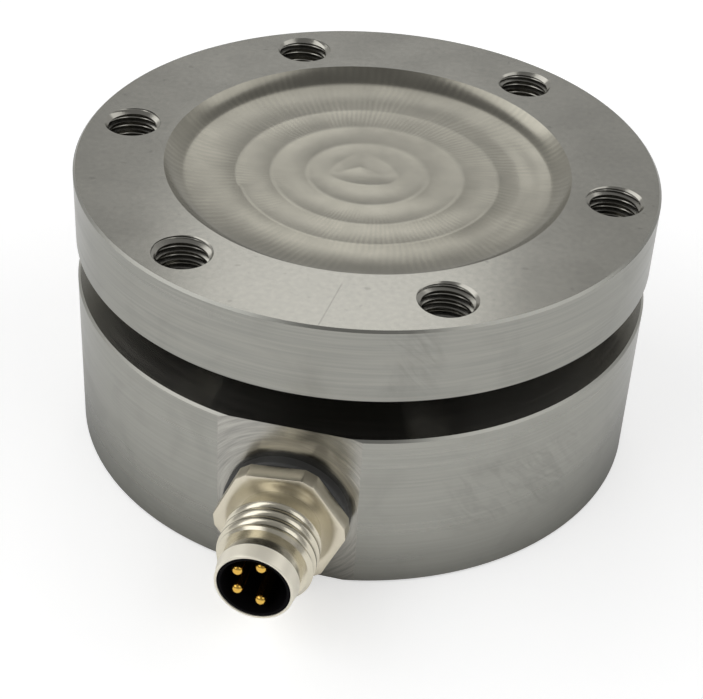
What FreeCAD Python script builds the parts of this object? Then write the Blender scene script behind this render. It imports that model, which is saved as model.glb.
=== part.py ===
import FreeCAD, Part
import math
import os
import re
import Sketcher
from FreeCAD import Placement, Rotation, Vector

# Driving dimensions, in millimetres, degrees and counts
SIZES = {
    # Sensing body: flange, groove, neck, membrane and base ring, turned from one bar
    "body_diameter": 50.0,
    "flange_thickness": 6.75,
    "groove_gap": 3.75,
    "base_height": 15.0,
    "neck_diameter": 18.0,
    "neck_fillet": 0.8,
    "membrane_thickness": 2.5,
    "cavity_diameter": 30.0,
    "edge_chamfer": 0.15,
    # Dished recess in the top face, milled with a ball cutter in round passes
    "recess_diameter": 34.8,
    "recess_depth": 1.3,
    "cutter_radius": 8.75,
    "pass_pitch": 3.05,
    # Tapped fixing holes in the flange and in the base, drawn at the thread's minor diameter
    "bolt_count": 6,
    "bolt_inset": 3.8,
    "base_bolt_inset": 3.5,
    "tap_drill": 4.2,
    "tap_chamfer": 0.35,
    "base_tap_drill": 3.3,
    "base_tap_depth": 8.0,
    "drill_point": 1.0,
    # Flat on the base ring and the connector's place on it
    "flat_depth": 0.7,
    "connector_height": 6.7,
    # Bottom cover, its seal and its screws
    "cover_thickness": 1.6,
    "cover_recess": 0.2,
    "cover_head_margin": 0.05,
    "cover_fit": 0.1,
    "spigot_rise": 1.8,
    "spigot_wall": 2.0,
    "cover_seal_cord": 1.0,
    "seal_side_play": 0.05,
    "cover_screw_count": 4,
    "cover_screw_diameter": 1.6,
    "cover_screw_head": 3.0,
    "cover_screw_length": 4.2,
    "cover_screw_socket": 0.9,
    "socket_depth": 0.6,
    "cover_screw_play": 0.1,
    "tap_runout": 0.5,
    "thread_fit": 0.02,
    # Strain gauges and their leads
    "gauge_length": 2.4,
    "gauge_width": 2.0,
    "gauge_thickness": 0.1,
    "gauge_edge": 0.3,
    "gauge_lead_diameter": 0.2,
    "gauge_lead_spacing": 0.8,
    "gauge_lead_inset": 0.8,
    # Terminal board, the screw and spacer that hang it under the hub, and its chips
    "board_diameter": 16.0,
    "board_thickness": 1.0,
    "spacer_length": 1.0,
    "spacer_diameter": 4.4,
    "board_screw_diameter": 2.0,
    "board_screw_head": 3.8,
    "board_screw_head_height": 1.3,
    "board_screw_grip": 4.0,
    "board_screw_play": 0.1,
    "chip_length": 2.0,
    "chip_width": 1.25,
    "chip_height": 0.55,
    "chip_column": 3.2,
    "chip_inset": 2.6,
    "chip_pitch": 2.0,
    # Connector shell, from the seal on the flat outwards
    "shell_spigot_diameter": 8.0,
    "shell_spigot_length": 6.5,
    "seal_thickness": 1.0,
    "seal_width": 1.25,
    "seal_round": 0.35,
    "hex_across": 10.0,
    "hex_corner_rise": 0.5,
    "hex_thickness": 1.5,
    "hex_turn": 6.0,
    "dish_rim": 0.5,
    "dish_depth": 0.3,
    "relief_width": 1.0,
    "thread_depth": 0.55,
    "thread_rise": 0.65,
    "thread_length": 3.25,
    "thread_chamfer": 0.35,
    "latch_width": 1.25,
    "latch_depth": 0.25,
    "collar_length": 1.35,
    "collar_chamfer": 0.28,
    "nose_wall": 0.4,
    # Contact carrier, pins and potting inside the shell
    "cup_clearance": 0.25,
    "carrier_fit": 0.01,
    "lip_step": 0.2,
    "lip_length": 0.8,
    "lip_setback": 0.05,
    "cup_wall": 0.25,
    "cup_depth": 5.0,
    "carrier_base": 4.0,
    "pin_diameter": 1.0,
    "pin_tip_flat": 0.16,
    "pin_fit": 0.01,
    "pin_setback": 0.55,
    "pin_tail": 1.8,
    "pin_circle": 3.5,
    "wide_pair_angle": 75.0,
    "narrow_pair_angle": 146.0,
    "potting_setback": 0.5,
    "solder_play": 0.05,
    "solder_cup_depth": 1.2,
    # Lead wires from the pins to the board
    "wire_diameter": 0.6,
    "wire_bend": 1.2,
    "wire_fit": 0.02,
    "wire_inset": 1.4,
    "wire_row_pitch": 1.6,
}

# Heights and radii of the sensing body, worked out from the driving dimensions
BODY_R = "body_diameter / 2"
NECK_R = "neck_diameter / 2"
CAVITY_R = "cavity_diameter / 2"
BOLT_R = "(body_diameter / 2 - bolt_inset)"
BASE_BOLT_R = "(body_diameter / 2 - base_bolt_inset)"
FLAT_Y = "(body_diameter / 2 - flat_depth)"
FLANGE_BOTTOM = "(base_height + groove_gap)"
TOP = "(base_height + groove_gap + flange_thickness)"
MEMBRANE_BOTTOM = "(base_height - membrane_thickness)"

# Bottom cover
COVER_SEAT = "(cover_recess + cover_thickness)"
COVER_SCREW_R = "(cavity_diameter / 2 + cover_head_margin + cover_screw_head / 2)"
COVER_SEAT_R = "(cavity_diameter / 2 + 2 * cover_head_margin + cover_screw_head)"
SPIGOT_R = "(cavity_diameter / 2 - cover_fit)"
SEAL_FLOOR_R = "(cavity_diameter / 2 - cover_seal_cord)"
SEAL_SLOT = "(cover_seal_cord / 2 + seal_side_play)"
SEAL_HEIGHT = "(cover_recess + cover_thickness + spigot_rise / 2)"

# Terminal board
BOARD_TOP = "(base_height - membrane_thickness - spacer_length)"
BOARD_BOTTOM = "(base_height - membrane_thickness - spacer_length - board_thickness)"

# Connector, measured outwards from the flat along its own axis
HEX_BACK = "seal_thickness"
HEX_FRONT = "(seal_thickness + hex_thickness)"
THREAD_START = f"({HEX_FRONT} + relief_width)"
THREAD_END = f"({THREAD_START} + thread_length)"
CUP_R = "(pin_circle / 2 + pin_diameter / 2 + cup_clearance)"
CARRIER_R = f"({CUP_R} + cup_wall)"
LIP_R = f"({CARRIER_R} + lip_step)"
NOSE_R = f"({LIP_R} + nose_wall)"
THREAD_R = f"({NOSE_R} + thread_rise)"
HEX_CORNER_R = "(hex_across / 2 + hex_corner_rise)"
LATCH_START = f"({THREAD_END} + thread_chamfer)"
LATCH_END = f"({LATCH_START} + latch_width)"
RIM = f"({LATCH_END} + collar_length)"
LIP_FRONT = f"({RIM} - lip_setback)"
LIP_BACK = f"({RIM} - lip_setback - lip_length)"
CUP_FLOOR = f"({LIP_FRONT} - cup_depth)"
CARRIER_BACK = f"({CUP_FLOOR} - carrier_base)"
POTTING_BACK = "(potting_setback - shell_spigot_length)"
PIN_TIP = f"({RIM} - pin_setback)"
PIN_BACK = f"({POTTING_BACK} - pin_tail)"
SHELL_SPIGOT_R = "(shell_spigot_diameter / 2 - thread_fit)"

# Pin places across the connector, sideways and upwards: two pairs on one circle
PINS = [
    (f"pin_circle / 2 * cos({pair}_pair_angle)", f"{sign}pin_circle / 2 * sin({pair}_pair_angle)")
    for pair in ("wide", "narrow")
    for sign in ("", "-")
]

# Counts and angles that the layout fixes
GAUGE_COUNT = 8
HEX_SIDES = 6
SCREW_TURN = 45

doc = FreeCAD.newDocument("FlangeLoadCell")
sheet = doc.addObject("Spreadsheet::Sheet", "Sizes")
for row, (name, number) in enumerate(SIZES.items(), start=1):
    sheet.set(f"A{row}", name)
    sheet.set(f"B{row}", str(number))
    sheet.setAlias(f"B{row}", name)
doc.recompute()


def bind(text):
    """Point every size named in an expression at its cell of the sheet."""
    return re.sub(r"[a-z]\w*", lambda word: f"Sizes.{word[0]}" if word[0] in SIZES else word[0], text)


def value(text):
    """Return what an expression of sizes comes to."""
    return float(sheet.evalExpression(bind(text)))


def new_body(label):
    return doc.addObject("PartDesign::Body", label)


def new_sketch(body, name, plane="XZ_Plane", lift="0", turn=0):
    """Add a sketch on an origin plane, lifted along its normal or turned about the body's upright axis."""
    sketch = body.newObject("Sketcher::SketchObject", name)
    support = next(item for item in body.Origin.OriginFeatures if item.Role == plane)
    sketch.AttachmentSupport = (support, [""])
    sketch.MapMode = "FlatFace"
    upright = Vector(0, 1, 0) if plane == "XZ_Plane" else Vector(0, 0, 1)
    sketch.AttachmentOffset = Placement(Vector(), Rotation(upright, turn))
    sketch.setExpression("AttachmentOffset.Base.z", bind(lift))
    return sketch


def tie(sketch, edge, end, x, y):
    """Hold one point of a sketch at a pair of expressions."""
    for kind, axis, text in (("DistanceX", -2, x), ("DistanceY", -1, y)):
        if text == "0":
            sketch.addConstraint(Sketcher.Constraint("PointOnObject", edge, end, axis))
        else:
            number = sketch.addConstraint(Sketcher.Constraint(kind, -1, 1, edge, end, value(text)))
            sketch.setExpression(f"Constraints[{number}]", bind(text))


def draw_line(sketch, start, finish, construction=False):
    ends = [Vector(value(x), value(y), 0) for x, y in (start, finish)]
    return sketch.addGeometry(Part.LineSegment(*ends), construction)


def draw_outline(sketch, corners):
    """Draw a closed outline of straight edges and tie each of its corners."""
    following = corners[1:] + corners[:1]
    edges = [draw_line(sketch, start, finish) for start, finish in zip(corners, following)]
    for edge, after in zip(edges, edges[1:] + edges[:1]):
        sketch.addConstraint(Sketcher.Constraint("Coincident", edge, 2, after, 1))
    for edge, (x, y) in zip(edges, corners):
        tie(sketch, edge, 1, x, y)


def draw_circle(sketch, x, y, radius):
    circle = Part.Circle(Vector(value(x), value(y), 0), Vector(0, 0, 1), value(radius))
    edge = sketch.addGeometry(circle, False)
    tie(sketch, edge, 3, x, y)
    number = sketch.addConstraint(Sketcher.Constraint("Radius", edge, value(radius)))
    sketch.setExpression(f"Constraints[{number}]", bind(radius))


def turn_form(body, name, kind, sketch, axis="V_Axis"):
    """Turn a sketch right round an axis, as added or cut material."""
    feature = body.newObject(f"PartDesign::{kind}", name)
    feature.Profile = sketch
    feature.ReferenceAxis = (sketch, [axis])
    feature.Angle = 360
    doc.recompute()
    return feature


def turned(label, corners):
    """Make a body turned from an outline of radii and heights."""
    body = new_body(label)
    sketch = new_sketch(body, "outline")
    draw_outline(sketch, corners)
    turn_form(body, "turned_form", "Revolution", sketch)
    return body


def ring_pattern(body, name, features, sketch, count):
    """Repeat features round the body's upright axis."""
    pattern = body.newObject("PartDesign::PolarPattern", name)
    pattern.Originals = features
    pattern.Axis = (sketch, ["V_Axis" if sketch.AttachmentSupport[0][0].Role == "XZ_Plane" else "N_Axis"])
    pattern.Angle = 360
    pattern.setExpression("Occurrences", bind(count))
    body.Tip = pattern
    doc.recompute()


def offset_form(body, name, kind, corners, radius, count, turn=0):
    """Turn an outline about an axis that stands at a radius, and repeat it in a ring."""
    sketch = new_sketch(body, f"{name}_outline", turn=turn)
    draw_outline(sketch, [(f"{radius} + {x}", y) for x, y in corners])
    low, high = corners[0], corners[-1]
    axis = draw_line(sketch, (radius, low[1]), (radius, high[1]), construction=True)
    tie(sketch, axis, 1, radius, low[1])
    tie(sketch, axis, 2, radius, high[1])
    feature = turn_form(body, name, kind, sketch, "Axis0")
    ring_pattern(body, f"{name}_ring", [feature], sketch, count)


def cut_away(body, name, sketch, length, backwards):
    """Pocket a sketch to a length."""
    pocket = body.newObject("PartDesign::Pocket", name)
    pocket.Profile = sketch
    pocket.setExpression("Length", bind(length))
    pocket.Reversed = backwards
    doc.recompute()
    return pocket


def add_up(body, name, sketch, length):
    """Pad a sketch to a length."""
    pad = body.newObject("PartDesign::Pad", name)
    pad.Profile = sketch
    pad.setExpression("Length", bind(length))
    doc.recompute()
    return pad


def round_edges(body, name, radius, places):
    """Fillet the round edges found at pairs of radius and height."""
    base = body.Tip
    wanted = [(value(around), value(height)) for around, height in places]
    names = []
    for number, edge in enumerate(base.Shape.Edges, start=1):
        if not isinstance(edge.Curve, Part.Circle):
            continue
        found = (edge.Curve.Radius, edge.Curve.Center.z)
        if any(math.dist(found, place) < Part.Precision.confusion() * 100 for place in wanted):
            names.append(f"Edge{number}")
    fillet = body.newObject("PartDesign::Fillet", name)
    fillet.Base = (base, names)
    fillet.setExpression("Radius", bind(radius))
    doc.recompute()


def place(piece, x, y, z, rotation=Rotation()):
    """Set where a piece stands, tied to the sheet."""
    piece.Placement = Placement(Vector(value(x), value(y), value(z)), rotation)
    for letter, text in (("x", x), ("y", y), ("z", z)):
        piece.setExpression(f"Placement.Base.{letter}", bind(text))


def place_on_flat(piece, sideways="0", upwards="0"):
    """Stand a piece that was made about an upright axis out of the flat, along the connector."""
    height = f"connector_height + {upwards}"
    place(piece, sideways, f"-{FLAT_Y}", height, Rotation(Vector(1, 0, 0), 90))


def bent_rod(points, radius, bend):
    """Return a round rod along straight runs joined by tangent arcs."""
    edges = []
    start = points[0]
    for before, corner, after in zip(points, points[1:], points[2:]):
        inward = (before - corner).normalize()
        onward = (after - corner).normalize()
        half = inward.getAngle(onward) / 2
        reach = bend / math.tan(half)
        middle = corner + (inward + onward).normalize() * (bend / math.sin(half) - bend)
        arc_start = corner + inward * reach
        arc_end = corner + onward * reach
        edges.append(Part.LineSegment(start, arc_start).toShape())
        edges.append(Part.Arc(arc_start, middle, arc_end).toShape())
        start = arc_end
    edges.append(Part.LineSegment(start, points[-1]).toShape())
    path = Part.Wire(edges)
    section = Part.Wire(Part.Circle(points[0], points[1] - points[0], radius).toShape())
    rod = path.makePipeShell([section], True, False)
    expected = math.pi * radius ** 2 * path.Length
    if abs(rod.Volume - expected) > 0.01 * expected:
        raise ValueError(f"rod volume {rod.Volume:.4f} differs from {expected:.4f}")
    return rod


def add_solid(label, shape):
    """Add a shape made of rods to the document."""
    feature = doc.addObject("Part::Feature", label)
    feature.Shape = shape
    feature.Placement = Placement()


def make_recess(body):
    """Cut the dished recess: a row of round scallops, one for each pass of the ball cutter."""
    sketch = new_sketch(body, "recess_outline")
    reach = "sqrt(2 * cutter_radius * recess_depth - recess_depth ^ 2)"
    outermost = f"recess_diameter / 2 - {reach}"
    centre_height = f"{TOP} - recess_depth + cutter_radius"
    cutter = value("cutter_radius")
    half_pitch = value("pass_pitch / 2")
    passes = math.ceil(value(outermost) / value("pass_pitch") + 0.5)
    arcs = []
    for number in range(passes):
        centre = f"{outermost} - {number} * pass_pitch"
        outer = value("recess_diameter / 2") if number == 0 else value(centre) + half_pitch
        inner = max(value(centre) - half_pitch, 0)
        angles = [math.asin((radius - value(centre)) / cutter) - math.pi / 2 for radius in (inner, outer)]
        circle = Part.Circle(Vector(value(centre), value(centre_height), 0), Vector(0, 0, 1), cutter)
        arc = sketch.addGeometry(Part.ArcOfCircle(circle, *angles), False)
        tie(sketch, arc, 3, centre, centre_height)
        if arcs:
            sketch.addConstraint(Sketcher.Constraint("Equal", arcs[-1], arc))
            sketch.addConstraint(Sketcher.Constraint("Coincident", arcs[-1], 1, arc, 2))
        else:
            number = sketch.addConstraint(Sketcher.Constraint("Radius", arc, cutter))
            sketch.setExpression(f"Constraints[{number}]", bind("cutter_radius"))
        arcs.append(arc)
    lid = draw_line(sketch, ("recess_diameter / 2", TOP), ("0", TOP))
    middle = draw_line(sketch, ("0", TOP), ("0", f"{TOP} - recess_depth"))
    sketch.addConstraint(Sketcher.Constraint("Coincident", arcs[0], 2, lid, 1))
    sketch.addConstraint(Sketcher.Constraint("Coincident", lid, 2, middle, 1))
    sketch.addConstraint(Sketcher.Constraint("Coincident", middle, 2, arcs[-1], 1))
    sketch.addConstraint(Sketcher.Constraint("Horizontal", lid))
    sketch.addConstraint(Sketcher.Constraint("PointOnObject", middle, 2, -2))
    tie(sketch, lid, 2, "0", TOP)
    turn_form(body, "recess", "Groove", sketch)


def make_sensing_body():
    body = turned("sensing_body", [
        ("0", TOP),
        (f"{BODY_R} - edge_chamfer", TOP),
        (BODY_R, f"{TOP} - edge_chamfer"),
        (BODY_R, f"{FLANGE_BOTTOM} + edge_chamfer"),
        (f"{BODY_R} - edge_chamfer", FLANGE_BOTTOM),
        (NECK_R, FLANGE_BOTTOM),
        (NECK_R, "base_height"),
        (f"{BODY_R} - edge_chamfer", "base_height"),
        (BODY_R, "base_height - edge_chamfer"),
        (BODY_R, "edge_chamfer"),
        (f"{BODY_R} - edge_chamfer", "0"),
        (COVER_SEAT_R, "0"),
        (COVER_SEAT_R, COVER_SEAT),
        (CAVITY_R, COVER_SEAT),
        (CAVITY_R, MEMBRANE_BOTTOM),
        ("0", MEMBRANE_BOTTOM),
    ])
    round_edges(body, "neck_roots", "neck_fillet", [(NECK_R, FLANGE_BOTTOM), (NECK_R, "base_height")])
    make_recess(body)

    below_flange = f"{FLANGE_BOTTOM} - groove_gap / 2"
    offset_form(body, "flange_holes", "Groove", [
        ("0", TOP),
        ("tap_drill / 2 + tap_chamfer", TOP),
        ("tap_drill / 2", f"{TOP} - tap_chamfer"),
        ("tap_drill / 2", below_flange),
        ("0", below_flange),
    ], BOLT_R, "bolt_count")
    offset_form(body, "base_holes", "Groove", [
        ("0", "0"),
        ("base_tap_drill / 2 + tap_chamfer", "0"),
        ("base_tap_drill / 2", "tap_chamfer"),
        ("base_tap_drill / 2", "base_tap_depth"),
        ("0", "base_tap_depth + drill_point"),
    ], BASE_BOLT_R, "bolt_count")

    screw_hole_end = "cover_recess + cover_screw_length + tap_runout"
    screw_hole_r = "(cover_screw_diameter / 2 + thread_fit)"
    offset_form(body, "cover_screw_holes", "Groove", [
        ("0", COVER_SEAT),
        (screw_hole_r, COVER_SEAT),
        (screw_hole_r, screw_hole_end),
        ("0", screw_hole_end),
    ], COVER_SCREW_R, "cover_screw_count", SCREW_TURN)

    sketch = new_sketch(body, "board_screw_hole_outline", "XY_Plane", MEMBRANE_BOTTOM)
    draw_circle(sketch, "0", "0", "board_screw_diameter / 2 + thread_fit")
    cut_away(body, "board_screw_hole", sketch, "board_screw_grip + tap_runout", True)

    sketch = new_sketch(body, "flat_outline", "XY_Plane")
    draw_outline(sketch, [
        (f"-{BODY_R}", f"-{FLAT_Y}"),
        (f"-{BODY_R}", f"-{BODY_R} - flat_depth"),
        (BODY_R, f"-{BODY_R} - flat_depth"),
        (BODY_R, f"-{FLAT_Y}"),
    ])
    cut_away(body, "flat", sketch, "base_height", True)

    sketch = new_sketch(body, "connector_bore_outline")
    draw_circle(sketch, "0", "connector_height", "shell_spigot_diameter / 2")
    cut_away(body, "connector_bore", sketch, BODY_R, True)


def make_bottom_cover():
    body = turned("bottom_cover", [
        ("0", "cover_recess"),
        (f"{COVER_SEAT_R} - cover_fit", "cover_recess"),
        (f"{COVER_SEAT_R} - cover_fit", COVER_SEAT),
        (SPIGOT_R, COVER_SEAT),
        (SPIGOT_R, f"{SEAL_HEIGHT} - {SEAL_SLOT}"),
        (SEAL_FLOOR_R, f"{SEAL_HEIGHT} - {SEAL_SLOT}"),
        (SEAL_FLOOR_R, f"{SEAL_HEIGHT} + {SEAL_SLOT}"),
        (SPIGOT_R, f"{SEAL_HEIGHT} + {SEAL_SLOT}"),
        (SPIGOT_R, f"{COVER_SEAT} + spigot_rise"),
        (f"{SPIGOT_R} - spigot_wall", f"{COVER_SEAT} + spigot_rise"),
        (f"{SPIGOT_R} - spigot_wall", COVER_SEAT),
        ("0", COVER_SEAT),
    ])
    hole_r = "(cover_screw_diameter / 2 + cover_screw_play)"
    sink_end = f"cover_recess + cover_screw_head / 2 - {hole_r}"
    offset_form(body, "screw_holes", "Groove", [
        ("0", "cover_recess"),
        ("cover_screw_head / 2", "cover_recess"),
        (hole_r, sink_end),
        (hole_r, COVER_SEAT),
        ("0", COVER_SEAT),
    ], COVER_SCREW_R, "cover_screw_count", SCREW_TURN)

    seal = doc.addObject("Part::Torus", "cover_seal")
    seal.setExpression("Radius1", bind(f"{CAVITY_R} - cover_seal_cord / 2"))
    seal.setExpression("Radius2", bind("cover_seal_cord / 2"))
    place(seal, "0", "0", SEAL_HEIGHT)


def make_cover_screws():
    """Countersunk screws with a hexagon socket, as one group."""
    body = new_body("cover_screws")
    sketch = new_sketch(body, "screw_outline", turn=SCREW_TURN)
    shank_top = "cover_recess + (cover_screw_head - cover_screw_diameter) / 2"
    screw_end = "cover_recess + cover_screw_length"
    corners = [
        ("0", "cover_recess"),
        ("cover_screw_head / 2", "cover_recess"),
        ("cover_screw_diameter / 2", shank_top),
        ("cover_screw_diameter / 2", screw_end),
        ("0", screw_end),
    ]
    draw_outline(sketch, [(f"{COVER_SCREW_R} + {x}", y) for x, y in corners])
    axis = draw_line(sketch, (COVER_SCREW_R, "cover_recess"), (COVER_SCREW_R, screw_end), construction=True)
    tie(sketch, axis, 1, COVER_SCREW_R, "cover_recess")
    tie(sketch, axis, 2, COVER_SCREW_R, screw_end)
    screw = turn_form(body, "screw", "Revolution", sketch, "Axis0")

    socket_sketch = new_sketch(body, "socket_outline", "XY_Plane", "cover_recess", SCREW_TURN)
    corner_r = "cover_screw_socket / sqrt(3)"
    draw_outline(socket_sketch, [
        (f"{COVER_SCREW_R} + {corner_r} * cos({angle} deg)", f"{corner_r} * sin({angle} deg)")
        for angle in range(30, 390, 60)
    ])
    socket = cut_away(body, "socket", socket_sketch, "socket_depth", True)
    ring_pattern(body, "screw_ring", [screw, socket], sketch, "cover_screw_count")


def make_strain_gauges():
    """Gauges on the membrane's underside: near the neck and near the rim, in turn round the axis."""
    near_neck = f"({NECK_R} + gauge_edge + gauge_length / 2)"
    near_rim = f"({CAVITY_R} - gauge_edge - gauge_length / 2)"
    leads = []
    for number in range(GAUGE_COUNT):
        radius = near_rim if number % 2 == 0 else near_neck
        rotation = Rotation(Vector(0, 0, 1), 360 * number / GAUGE_COUNT)
        body = new_body(f"strain_gauge_{number + 1}")
        sketch = new_sketch(body, "gauge_outline", "XY_Plane")
        draw_outline(sketch, [
            (f"{radius} - gauge_length / 2", "-gauge_width / 2"),
            (f"{radius} + gauge_length / 2", "-gauge_width / 2"),
            (f"{radius} + gauge_length / 2", "gauge_width / 2"),
            (f"{radius} - gauge_length / 2", "gauge_width / 2"),
        ])
        add_up(body, "gauge", sketch, "gauge_thickness")
        place(body, "0", "0", f"{MEMBRANE_BOTTOM} - gauge_thickness", rotation)
        for side in (-1, 1):
            leads.append(gauge_lead(value(radius), side, rotation))
    add_solid("gauge_leads", Part.makeCompound(leads))


def gauge_lead(radius, side, rotation):
    """Return one lead: down from the gauge, across, and down onto the board."""
    across = side * value("gauge_lead_spacing / 2")
    gauge_face = value(f"{MEMBRANE_BOTTOM} - gauge_thickness")
    board_face = value(BOARD_TOP)
    level = (gauge_face + board_face) / 2
    landing = value("board_diameter / 2 - gauge_lead_inset")
    points = [(radius, gauge_face), (radius, level), (landing, level), (landing, board_face)]
    route = [rotation.multVec(Vector(along, across, height)) for along, height in points]
    return bent_rod(route, value("gauge_lead_diameter / 2"), (gauge_face - level) / 2)


def wire_hole_y(upwards):
    """Return where a pin's wire meets the board: the upper wires nearest to the board's edge."""
    edge_row = "-(board_diameter / 2 - wire_inset)"
    return f"{edge_row} + wire_row_pitch" if upwards.startswith("-") else edge_row


def make_terminal_board():
    body = new_body("terminal_board")
    sketch = new_sketch(body, "board_outline", "XY_Plane")
    draw_circle(sketch, "0", "0", "board_diameter / 2")
    draw_circle(sketch, "0", "0", "board_screw_diameter / 2 + board_screw_play")
    for sideways, upwards in PINS:
        draw_circle(sketch, sideways, wire_hole_y(upwards), "wire_diameter / 2 + wire_fit")
    add_up(body, "board", sketch, "board_thickness")
    place(body, "0", "0", BOARD_BOTTOM)

    bore = "board_screw_diameter / 2 + board_screw_play"
    turned("board_spacer", [
        (bore, BOARD_TOP),
        ("spacer_diameter / 2", BOARD_TOP),
        ("spacer_diameter / 2", MEMBRANE_BOTTOM),
        (bore, MEMBRANE_BOTTOM),
    ])
    turned("board_screw", [
        ("0", f"{BOARD_BOTTOM} - board_screw_head_height"),
        ("board_screw_head / 2", f"{BOARD_BOTTOM} - board_screw_head_height"),
        ("board_screw_head / 2", BOARD_BOTTOM),
        ("board_screw_diameter / 2", BOARD_BOTTOM),
        ("board_screw_diameter / 2", f"{MEMBRANE_BOTTOM} + board_screw_grip"),
        ("0", f"{MEMBRANE_BOTTOM} + board_screw_grip"),
    ])


def make_resistors():
    """Compensation chips on the underside of the board, in two columns beside the screw."""
    names = ("span_resistor_1", "span_resistor_2", "zero_balance_resistor", "zero_drift_resistor")
    for number, name in enumerate(names):
        column = "chip_column" if number % 2 else "-chip_column"
        middle = f"board_diameter / 2 - chip_inset - {number // 2} * chip_pitch"
        chip = doc.addObject("Part::Box", name)
        chip.setExpression("Length", bind("chip_length"))
        chip.setExpression("Width", bind("chip_width"))
        chip.setExpression("Height", bind("chip_height"))
        place(chip, f"{column} - chip_length / 2", f"{middle} - chip_width / 2", f"{BOARD_BOTTOM} - chip_height")


def make_lead_wires():
    """Wires from the pins' solder cups, straight in and then up through the board."""
    radius = value("wire_diameter / 2")
    for number, (sideways, upwards) in enumerate(PINS, start=1):
        across = value(sideways)
        height = value(f"connector_height + {upwards}")
        turn_y = value(wire_hole_y(upwards))
        route = [
            Vector(across, -value(f"{PIN_BACK} + solder_cup_depth + {FLAT_Y}"), height),
            Vector(across, turn_y, height),
            Vector(across, turn_y, value(BOARD_TOP)),
        ]
        add_solid(f"lead_wire_{number}", bent_rod(route, radius, value("wire_bend")))


def make_connector_shell():
    bore_r = f"{CARRIER_R} + carrier_fit"
    mouth_r = f"{LIP_R} + carrier_fit"
    body = turned("connector_shell", [
        (bore_r, "-shell_spigot_length"),
        (SHELL_SPIGOT_R, "-shell_spigot_length"),
        (SHELL_SPIGOT_R, HEX_BACK),
        (HEX_CORNER_R, HEX_BACK),
        (HEX_CORNER_R, HEX_FRONT),
        ("hex_across / 2 - dish_rim", HEX_FRONT),
        (f"{THREAD_R} - thread_depth", f"{HEX_FRONT} - dish_depth"),
        (f"{THREAD_R} - thread_depth", THREAD_START),
        (THREAD_R, f"{THREAD_START} + thread_depth"),
        (THREAD_R, THREAD_END),
        (f"{THREAD_R} - thread_chamfer", LATCH_START),
        (f"{NOSE_R} - latch_depth", LATCH_START),
        (f"{NOSE_R} - latch_depth", LATCH_END),
        (NOSE_R, LATCH_END),
        (NOSE_R, f"{RIM} - collar_chamfer"),
        (f"{NOSE_R} - collar_chamfer", RIM),
        (mouth_r, RIM),
        (mouth_r, LIP_BACK),
        (bore_r, LIP_BACK),
    ])
    sketch = new_sketch(body, "hex_flat_outline", "XY_Plane", HEX_BACK)
    sketch.setExpression("AttachmentOffset.Rotation.Angle", bind("hex_turn"))
    draw_outline(sketch, [
        (f"-{HEX_CORNER_R}", "hex_across / 2"),
        (HEX_CORNER_R, "hex_across / 2"),
        (HEX_CORNER_R, f"2 * {HEX_CORNER_R}"),
        (f"-{HEX_CORNER_R}", f"2 * {HEX_CORNER_R}"),
    ])
    flat = cut_away(body, "hex_flat", sketch, "hex_thickness", True)
    ring_pattern(body, "hexagon", [flat], sketch, str(HEX_SIDES))
    place_on_flat(body)

    seal = turned("connector_seal", [
        ("shell_spigot_diameter / 2", "0"),
        ("shell_spigot_diameter / 2 + seal_width", "0"),
        ("shell_spigot_diameter / 2 + seal_width", HEX_BACK),
        ("shell_spigot_diameter / 2", HEX_BACK),
    ])
    seal_rim = "shell_spigot_diameter / 2 + seal_width"
    round_edges(seal, "seal_rounding", "seal_round", [(seal_rim, HEX_BACK)])
    place_on_flat(seal)


def drill_for_pins(body, plane_height, length):
    """Cut the four pin holes upwards from a height."""
    sketch = new_sketch(body, "pin_holes_outline", "XY_Plane", plane_height)
    for sideways, upwards in PINS:
        draw_circle(sketch, sideways, upwards, "pin_diameter / 2 + pin_fit")
    cut_away(body, "pin_holes", sketch, length, True)


def make_contact_carrier():
    body = turned("contact_carrier", [
        ("0", CARRIER_BACK),
        (CARRIER_R, CARRIER_BACK),
        (CARRIER_R, LIP_BACK),
        (LIP_R, LIP_BACK),
        (LIP_R, LIP_FRONT),
        (CUP_R, LIP_FRONT),
        (CUP_R, CUP_FLOOR),
        ("0", CUP_FLOOR),
    ])
    drill_for_pins(body, CARRIER_BACK, "carrier_base")
    place_on_flat(body)

    potting = turned("connector_potting", [
        ("0", POTTING_BACK),
        (f"{CARRIER_R} + carrier_fit", POTTING_BACK),
        (f"{CARRIER_R} + carrier_fit", CARRIER_BACK),
        ("0", CARRIER_BACK),
    ])
    drill_for_pins(potting, POTTING_BACK, f"{CARRIER_BACK} - {POTTING_BACK}")
    place_on_flat(potting)


def make_contact_pins():
    for number, (sideways, upwards) in enumerate(PINS, start=1):
        body = turned(f"contact_pin_{number}", [
            ("0", f"{PIN_BACK} + solder_cup_depth"),
            ("wire_diameter / 2 + solder_play", f"{PIN_BACK} + solder_cup_depth"),
            ("wire_diameter / 2 + solder_play", PIN_BACK),
            ("pin_diameter / 2", PIN_BACK),
            ("pin_diameter / 2", PIN_TIP),
            ("0", PIN_TIP),
        ])
        dome = "(pin_diameter - pin_tip_flat) / 2"
        round_edges(body, "pin_tip", dome, [("pin_diameter / 2", PIN_TIP)])
        place_on_flat(body, sideways, upwards)


make_sensing_body()
make_bottom_cover()
make_cover_screws()
make_strain_gauges()
make_terminal_board()
make_resistors()
make_lead_wires()
make_connector_shell()
make_contact_carrier()
make_contact_pins()
doc.recompute()

# Every feature must have worked, and every cut must have taken something away
for item in doc.Objects:
    if {"Invalid", "Error"} & set(item.State):
        raise ValueError(f"{item.Label} failed: {item.State}")
    if item.TypeId in ("PartDesign::Pocket", "PartDesign::Groove"):
        if item.Shape.Volume >= item.BaseFeature.Shape.Volume:
            raise ValueError(f"{item.Label} cuts nothing")

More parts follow.
